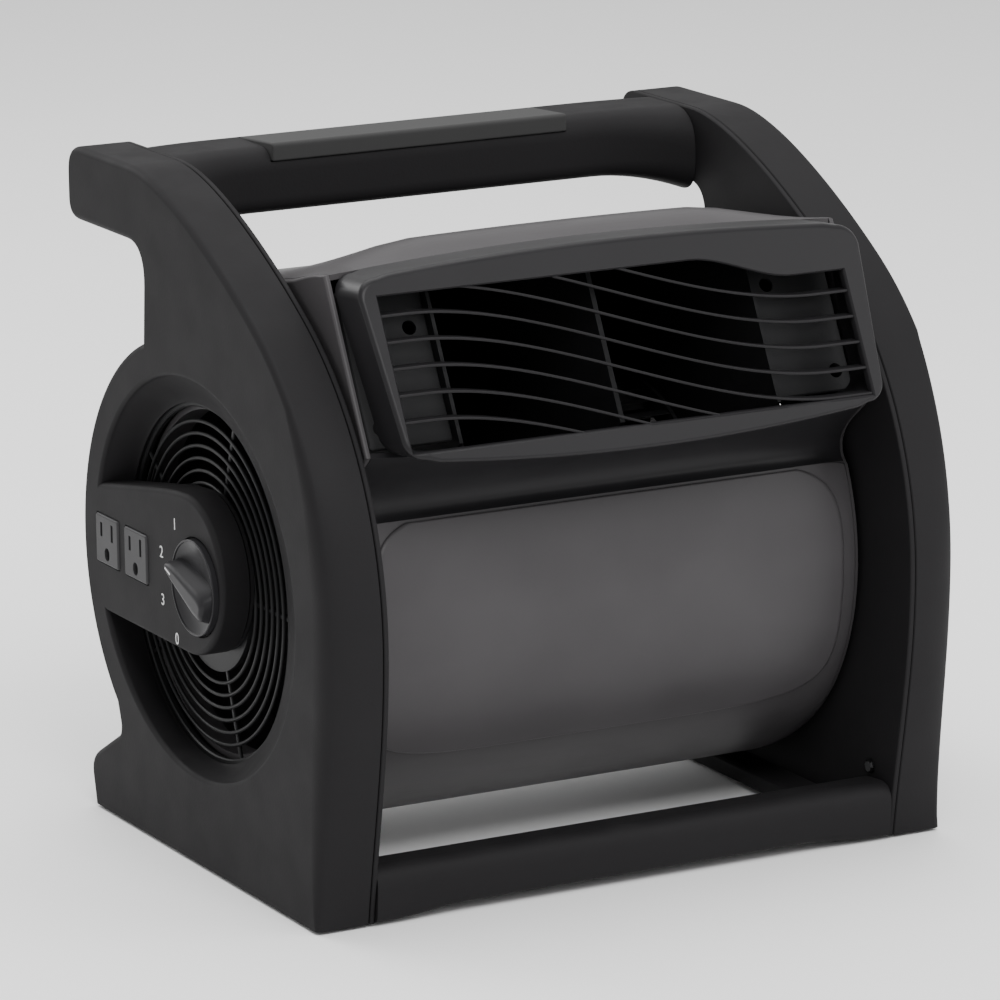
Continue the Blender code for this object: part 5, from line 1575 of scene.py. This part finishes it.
        def row(size: float, height: float) -> list:
            """One ring of the panel.

            Args:
                size: Share of the panel's full size.
                height: How far the ring stands out from the drum.

            Returns:
                The ring's vertices.
            """
            points = []
            for i in range(count):
                turn = math.tau * i / count
                across = math.copysign(abs(math.cos(turn)) ** power, math.cos(turn))
                up = math.copysign(abs(math.sin(turn)) ** power, math.sin(turn))
                angle = min(middle + half_angle * up, self.top_angle - 0.6)
                angle = math.radians(angle * size + middle * (1.0 - size))
                reach = radius + height
                x = half_x * across * size
                roll = self.rolled([(SIZES.drum_y - reach, SIZES.axis_z)], x)[0]
                points.append((x, SIZES.drum_y - (reach - roll) * math.cos(angle),
                               SIZES.axis_z + (reach - roll) * math.sin(angle)))
            return mould.ring(points)

        rings = [row(1.0, -0.0010)]
        for k in range(5):
            turn = QUARTER_TURN * k / 4
            rings.append(row(1.0 - border * (1.0 - math.cos(turn)), rise * math.sin(turn)))
        last = 1.0 - border
        for k in range(1, steps):
            rings.append(row(last * (1.0 - k / steps), rise))
        for a, b in zip(rings, rings[1:]):
            mould.join(a, b)
        mould.bm.faces.new(rings[-1])
        mould.bm.faces.new(rings[0])
        dress(mould.object("drum_front_panel"), DRUM_PLASTIC, Body.HEAD)

    def end_plate(self, side: Side, outline: Outline) -> None:
        """Make one end plate with its hollow journal.

        Args:
            side: Which end.
            outline: The drum's closed side view.
        """
        sign, end = side.value, SIZES.drum_end_x
        sections = []
        for back in (0.0025, 0.0015):
            sections.append((sign * (end - back), inset(outline, self.rolled(outline, end - back))))
        edge = 0.0014
        base = self.rolled(outline, end - edge)
        for k in range(1, 6):
            turn = QUARTER_TURN * k / 5
            sections.append((sign * (end - edge + edge * math.sin(turn)),
                             inset(outline, [b + edge * (1.0 - math.cos(turn)) for b in base])))
        plate = Mould().loft(sections).object(f"{side.label}_drum_end")
        outer = SIZES.intake_radius - GAP
        bore = outer - 0.0035
        centre = (0.0, SIZES.axis_z)
        reach = SIZES.recess_x - 0.0055
        ring = ellipse(outer, outer, 120, centre)
        soft = ellipse(outer - 0.0006, outer - 0.0006, 120, centre)
        carve(plate, Mould().loft([(sign * (end - 0.0012), ring), (sign * (reach - 0.0006), ring),
                                   (sign * reach, soft)]), "UNION")
        hole = ellipse(bore, bore, 120, centre)
        carve(plate, Mould().loft([(sign * (end - 0.010), hole), (sign * (reach + 0.005), hole)]))
        dress(plate, DRUM_PLASTIC, Body.HEAD, f"{side.label}_end_plate")


# ---------------------------------------------------------------- nozzle
@dataclass
class Nozzle:
    """The black nozzle: a proud bezel, S-shaped louvres and a panel behind each end of the opening."""

    drum: Drum
    corner: float = 0.010
    louvres: int = 8
    louvre_thick: float = 0.0013
    louvre_depth: float = 0.0090
    pitch: float = 0.0122
    drop: float = 0.0500
    open_left: float = -0.930
    open_right: float = 0.905
    open_top: float = 0.0090
    open_low: float = 0.0035
    step_down: float = 0.0125
    step_from: float = 0.30
    step_width: float = 0.40
    fall_from: float = -0.83
    fall_to: float = 0.77
    hole_radius: float = 0.0034

    @property
    def half_top(self) -> float:
        """Half width at the top of the face."""
        return SIZES.shell_x - 0.0005

    @property
    def half_low(self) -> float:
        """Half width at the bottom of the face."""
        return self.half_top - 0.005

    def edge(self, x: float, low: bool) -> float:
        """Distance down the face of the bowed top or bottom edge at one x."""
        if low:
            return self.drum.nozzle_frame()[3] + 0.0075 * (1.0 - (x / self.half_low) ** 2)
        return -0.0055 * (1.0 - (x / self.half_top) ** 2)

    def outline(self, margin: float, corner: float) -> Outline:
        """The front view as (x, distance down the face), pulled in by a margin."""
        length = self.drum.nozzle_frame()[3]
        wide, narrow = self.half_top - margin, self.half_low - margin
        steps, fine = 10, 40
        turn = [corner * (1 - math.sin(QUARTER_TURN * k / steps)) for k in range(steps + 1)]
        back = turn[::-1]
        shares = [-1 + 2 * k / fine for k in range(1, fine)]
        result = [(-wide + far, margin + near) for far, near in zip(back, turn)]
        result += [(x, self.edge(x, False) + margin) for x in ((wide - corner) * s for s in shares)]
        result += [(wide - near, margin + far) for near, far in zip(turn, back)]
        result += [(narrow - far, length - margin - near) for far, near in zip(back, turn)]
        result += [(x, self.edge(x, True) - margin) for x in ((corner - narrow) * s for s in shares)]
        result += [(-narrow + near, length - margin - far) for near, far in zip(turn, back)]
        return result

    def opening(self, grow: float) -> Outline:
        """The outlet opening in the face, grown outward by an amount."""
        length = self.drum.nozzle_frame()[3]
        left, right = self.open_left * self.half_top - grow, self.open_right * self.half_top + grow
        steps = 64
        xs = [left + (right - left) * i / steps for i in range(steps + 1)]
        low = length - self.open_low + grow
        return [(x, self.top_at(x) - grow) for x in xs] + [(x, low) for x in xs[::-1]]

    def top_at(self, x: float) -> float:
        """Upper edge of the opening at one x; it steps down towards the right."""
        share = min(max((x / self.half_top - self.step_from) / self.step_width, 0.0), 1.0)
        return self.open_top + self.step_down * share * share * (3 - 2 * share)

    def ring(self, mould: Mould, outline: Outline, depth: float) -> list:
        """Place a front outline at a depth behind the face."""
        upper, down, _, _ = self.drum.nozzle_frame()
        back = self.drum.nozzle_back * depth
        return mould.ring((x, upper.x + down.x * w + back.x, upper.y + down.y * w + back.y)
                          for x, w in outline)

    def solid(self, sections: Iterable[tuple[float, Outline]]) -> Mould:
        """A closed solid through (depth, front outline) sections."""
        mould = Mould()
        mould.skin([self.ring(mould, outline, depth) for depth, outline in sections])
        return mould

    def build(self) -> None:
        """Make the bezel, the louvres and the baffles."""
        edge = 0.0024
        sections = []
        for k in range(7):
            turn = QUARTER_TURN * k / 6
            pull = edge * (1.0 - math.sin(turn))
            sections.append((edge * (1.0 - math.cos(turn)), self.outline(pull, self.corner - pull * 0.6)))
        sections.append((SIZES.nozzle_depth - GAP, self.outline(0.0, self.corner)))
        bezel = self.solid(sections).object("nozzle_bezel")
        inside = self.outline(SIZES.wall, 0.008)
        carve(bezel, self.solid([(0.0045, inside), (SIZES.nozzle_depth + 0.004, inside)]))
        carve(bezel, self.solid([(-0.004, self.opening(0.0010)), (0.0, self.opening(0.0010)),
                                 (0.0007, self.opening(0.0003)), (0.0016, self.opening(0.0)),
                                 (0.009, self.opening(0.0))]))
        join_into(bezel, self.louvre_field())
        dress(bezel, NOZZLE_PLASTIC, Body.HEAD, "nozzle_grille")
        for side in Side:
            self.baffle(side)

    def louvre_field(self) -> bpy.types.Object:
        """The louvres: level at the left, falling in a smooth S, level again at the right."""
        upper, down, _, length = self.drum.nozzle_frame()
        back = self.drum.nozzle_back
        left = self.open_left * self.half_top - 0.0012
        right = self.open_right * self.half_top + 0.0012
        pattern = Pattern("louvre_field", NOZZLE_PLASTIC)
        count = pattern.given("Louvres", self.louvres, "NodeSocketInt")
        pitch = pattern.given("Pitch", self.pitch)
        drop = pattern.given("Drop", self.drop)
        thick = pattern.given("Thickness", self.louvre_thick)
        deep = pattern.given("Depth", self.louvre_depth)
        half = pattern.given("Half Width", self.half_top)
        first = pattern.given("First", self.open_top + 0.0090 - 3 * self.pitch)
        points = pattern.node("GeometryNodeMeshLine", {"Count": count, "Offset": (0.0, 1.0, 0.0)})
        line = pattern.node("GeometryNodeCurvePrimitiveLine",
                            {"Start": (left, 0.0, 0.0), "End": (right, 0.0, 0.0)})
        fine = pattern.node("GeometryNodeResampleCurve", {"Curve": line.outputs["Curve"], "Count": 97})
        rows = pattern.node("GeometryNodeInstanceOnPoints", {"Points": points.outputs["Mesh"],
                                                             "Instance": fine.outputs["Curve"]})
        curves = pattern.node("GeometryNodeRealizeInstances", {"Geometry": rows.outputs["Instances"]})
        place = pattern.node("GeometryNodeInputPosition", {}).outputs[0]
        split = pattern.node("ShaderNodeSeparateXYZ", {0: place})
        x, row = split.outputs["X"], split.outputs["Y"]
        across = pattern.math("DIVIDE", x, half)
        fall = pattern.step(across, self.fall_from, self.fall_to, drop)
        start = pattern.math("ADD", first, pattern.math("MULTIPLY", row, pitch))
        w = pattern.math("ADD", start, fall)
        stepped = pattern.step(across, self.step_from, self.step_from + self.step_width, self.step_down)
        lid = pattern.math("ADD", stepped, self.open_top - 0.0010)
        above = pattern.node("FunctionNodeCompare", {0: w, 1: lid}, data_type="FLOAT", operation="LESS_THAN")
        below = pattern.node("FunctionNodeCompare", {0: w, 1: length - self.open_low + 0.0008},
                             data_type="FLOAT", operation="GREATER_THAN")
        outside = pattern.node("FunctionNodeBooleanMath", {0: above.outputs[0], 1: below.outputs[0]},
                               operation="OR")
        centre = Vector((SIZES.shift.x, upper.x + SIZES.shift.y, upper.y))
        inward = Vector((0.0, back.x, back.y))
        behind = pattern.math("ADD", pattern.math("DIVIDE", deep, 2.0), 0.0012)
        target = pattern.add(tuple(centre), pattern.along(Vector((1.0, 0.0, 0.0)), x),
                             pattern.along(Vector((0.0, down.x, down.y)), w),
                             pattern.along(inward, behind))
        kept = pattern.node("GeometryNodeDeleteGeometry", {"Geometry": curves.outputs["Geometry"],
                                                           "Selection": outside.outputs[0]}, domain="POINT")
        moved = pattern.node("GeometryNodeSetPosition", {"Geometry": kept.outputs["Geometry"],
                                                         "Position": target})
        aimed = pattern.node("GeometryNodeSetCurveNormal", {"Curve": moved.outputs["Geometry"],
                                                            "Normal": tuple(inward)}, mode="FREE")
        blade = pattern.node("GeometryNodeCurvePrimitiveQuadrilateral", {"Width": deep, "Height": thick})
        soft = pattern.node("GeometryNodeFilletCurve", {"Curve": blade.outputs["Curve"], "Radius": 0.00045,
                                                        "Count": 3}, mode="POLY")
        slats = pattern.node("GeometryNodeCurveToMesh", {
            "Curve": aimed.outputs["Curve"], "Profile Curve": soft.outputs["Curve"], "Fill Caps": True})
        return pattern.run(slats.outputs["Mesh"])

    def baffle(self, side: Side) -> None:
        """Make the panel behind one end of the opening, with its two round holes.

        Args:
            side: Which end.
        """
        sign = side.value
        upper, down, into, length = self.drum.nozzle_frame()
        depth = SIZES.nozzle_depth + 0.0055
        low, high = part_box(f"{side.label}_outlet_baffle")
        near, far = sorted((abs(low.x - SIZES.shift.x), abs(high.x - SIZES.shift.x)))
        mould = Mould()
        rings = []
        for reach, pull in ((0.0, 0.0006), (0.0005, 0.0), (0.0015, 0.0), (0.0020, 0.0004)):
            outline = soft_box(((near + far) / 2, (length - 0.0175) / 2), far - near - 2 * pull,
                               length - 0.0105 - 2 * pull, 0.002)
            rings.append(mould.ring((sign * x, *(upper + down * w + into * (depth + reach)))
                                    for x, w in outline))
        mould.skin(rings)
        panel = mould.object(f"{side.label}_baffle_panel")
        for x, w in ((near + 0.009, 0.20 * length), (far - 0.007, 0.72 * length)):
            hole = Mould()
            rings = []
            for reach in (-0.004, 0.006):
                points = []
                for i in range(40):
                    turn = math.tau * i / 40
                    spot = upper + down * (w + self.hole_radius * math.sin(turn)) + into * (depth + reach)
                    points.append((sign * x + self.hole_radius * math.cos(turn), spot.x, spot.y))
                rings.append(hole.ring(points))
            hole.skin(rings)
            carve(panel, hole)
        dress(panel, BAFFLE_PLASTIC, Body.HEAD, f"{side.label}_outlet_baffle")


# ---------------------------------------------------------------- the room
@dataclass
class Studio:
    """Pale floor, soft lights and the camera."""

    lens: float = 213.4
    eye: Vector = Vector((-1.26929, -2.38274, 0.80130))
    right: Vector = Vector((0.880628, -0.473710, -0.009712))
    up: Vector = Vector((0.119455, 0.202138, 0.972045))
    ahead: Vector = Vector((0.458504, 0.857169, -0.234595))

    def build(self) -> None:
        """Make the floor, the lights and the camera."""
        self.floor()
        self.light("key", (-0.30, -1.75, 2.1), 1.3, 52.0)
        self.light("fill", (1.9, -1.8, 1.3), 1.8, 26.0)
        self.light("top", (0.1, 0.5, 2.2), 1.6, 34.0)
        self.light("rear", (-0.9, 1.9, 1.3), 1.2, 20.0)
        world = bpy.data.worlds.new("pale_room")
        world.use_nodes = True
        background = world.node_tree.nodes["Background"]
        background.inputs["Color"].default_value = (1.0, 1.0, 1.0, 1.0)
        background.inputs["Strength"].default_value = 0.85
        bpy.context.scene.world = world
        camera = bpy.data.cameras.new("camera")
        camera.lens = self.lens
        camera.sensor_width = 36.0
        camera.clip_end = 50.0
        holder = bpy.data.objects.new("camera", camera)
        bpy.context.scene.collection.objects.link(holder)
        eye = self.eye + SIZES.shift
        holder.matrix_world = Matrix(((self.right.x, self.up.x, -self.ahead.x, eye.x),
                                      (self.right.y, self.up.y, -self.ahead.y, eye.y),
                                      (self.right.z, self.up.z, -self.ahead.z, eye.z),
                                      (0.0, 0.0, 0.0, 1.0)))
        bpy.context.scene.camera = holder

    def floor(self) -> None:
        """Make the floor sheet."""
        surface = Surface("pale_floor")
        cloud = surface.noise(0.4, 2.0)
        surface.link(surface.mix(cloud, (0.90, 0.90, 0.90), (0.94, 0.94, 0.94)),
                     surface.shader.inputs["Base Color"])
        surface.shader.inputs["Roughness"].default_value = 0.7
        mesh = bpy.data.meshes.new("floor")
        reach = 6.0
        corners = [(-reach, -reach, 0.0), (reach, -reach, 0.0), (reach, reach, 0.0), (-reach, reach, 0.0)]
        mesh.from_pydata(corners, [], [(0, 1, 2, 3)])
        mesh.materials.append(surface.owner)
        floor = bpy.data.objects.new("floor", mesh)
        bpy.context.scene.collection.objects.link(floor)

    def light(self, name: str, place: tuple[float, float, float], size: float, power: float) -> None:
        """Hang one soft square light aimed at the blower.

        Args:
            name: Its name.
            place: Where it hangs.
            size: Length of its side.
            power: Its power in watts.
        """
        lamp = bpy.data.lights.new(name, "AREA")
        lamp.size = size
        lamp.energy = power
        holder = bpy.data.objects.new(name, lamp)
        bpy.context.scene.collection.objects.link(holder)
        holder.location = place
        aim = Vector((0.0, 0.0, 0.15)) - Vector(place)
        holder.rotation_euler = aim.to_track_quat("-Z", "Y").to_euler()


def paint_frame_nodes() -> None:
    """Give every CAD node the finish of its slot."""
    by_slot = {finish.slot: finish for finish in FINISHES}
    for part in frame["record"]["subparts"]:
        mesh = frame["nodes"][part["node"]].data
        mesh.materials.clear()
        mesh.materials.append(by_slot[part["material_slot"]].material())
        LOG.info("%s: carried over in %s", part["node"], part["material_slot"])


def main() -> None:
    """Build every piece in order."""
    logging.basicConfig(level=logging.INFO, format="%(name)s: %(message)s")
    Studio().build()
    paint_frame_nodes()
    for side in Side:
        SideFrame(side).build()
        IntakeGrille(side).build()
        BlowerWheel(side).build()
    ControlTongue().build()
    bars = Bars()
    bars.handle()
    bars.cross_bar()
    drum = Drum()
    drum.build()
    Nozzle(drum).build()


if __name__ == "__main__":
    main()
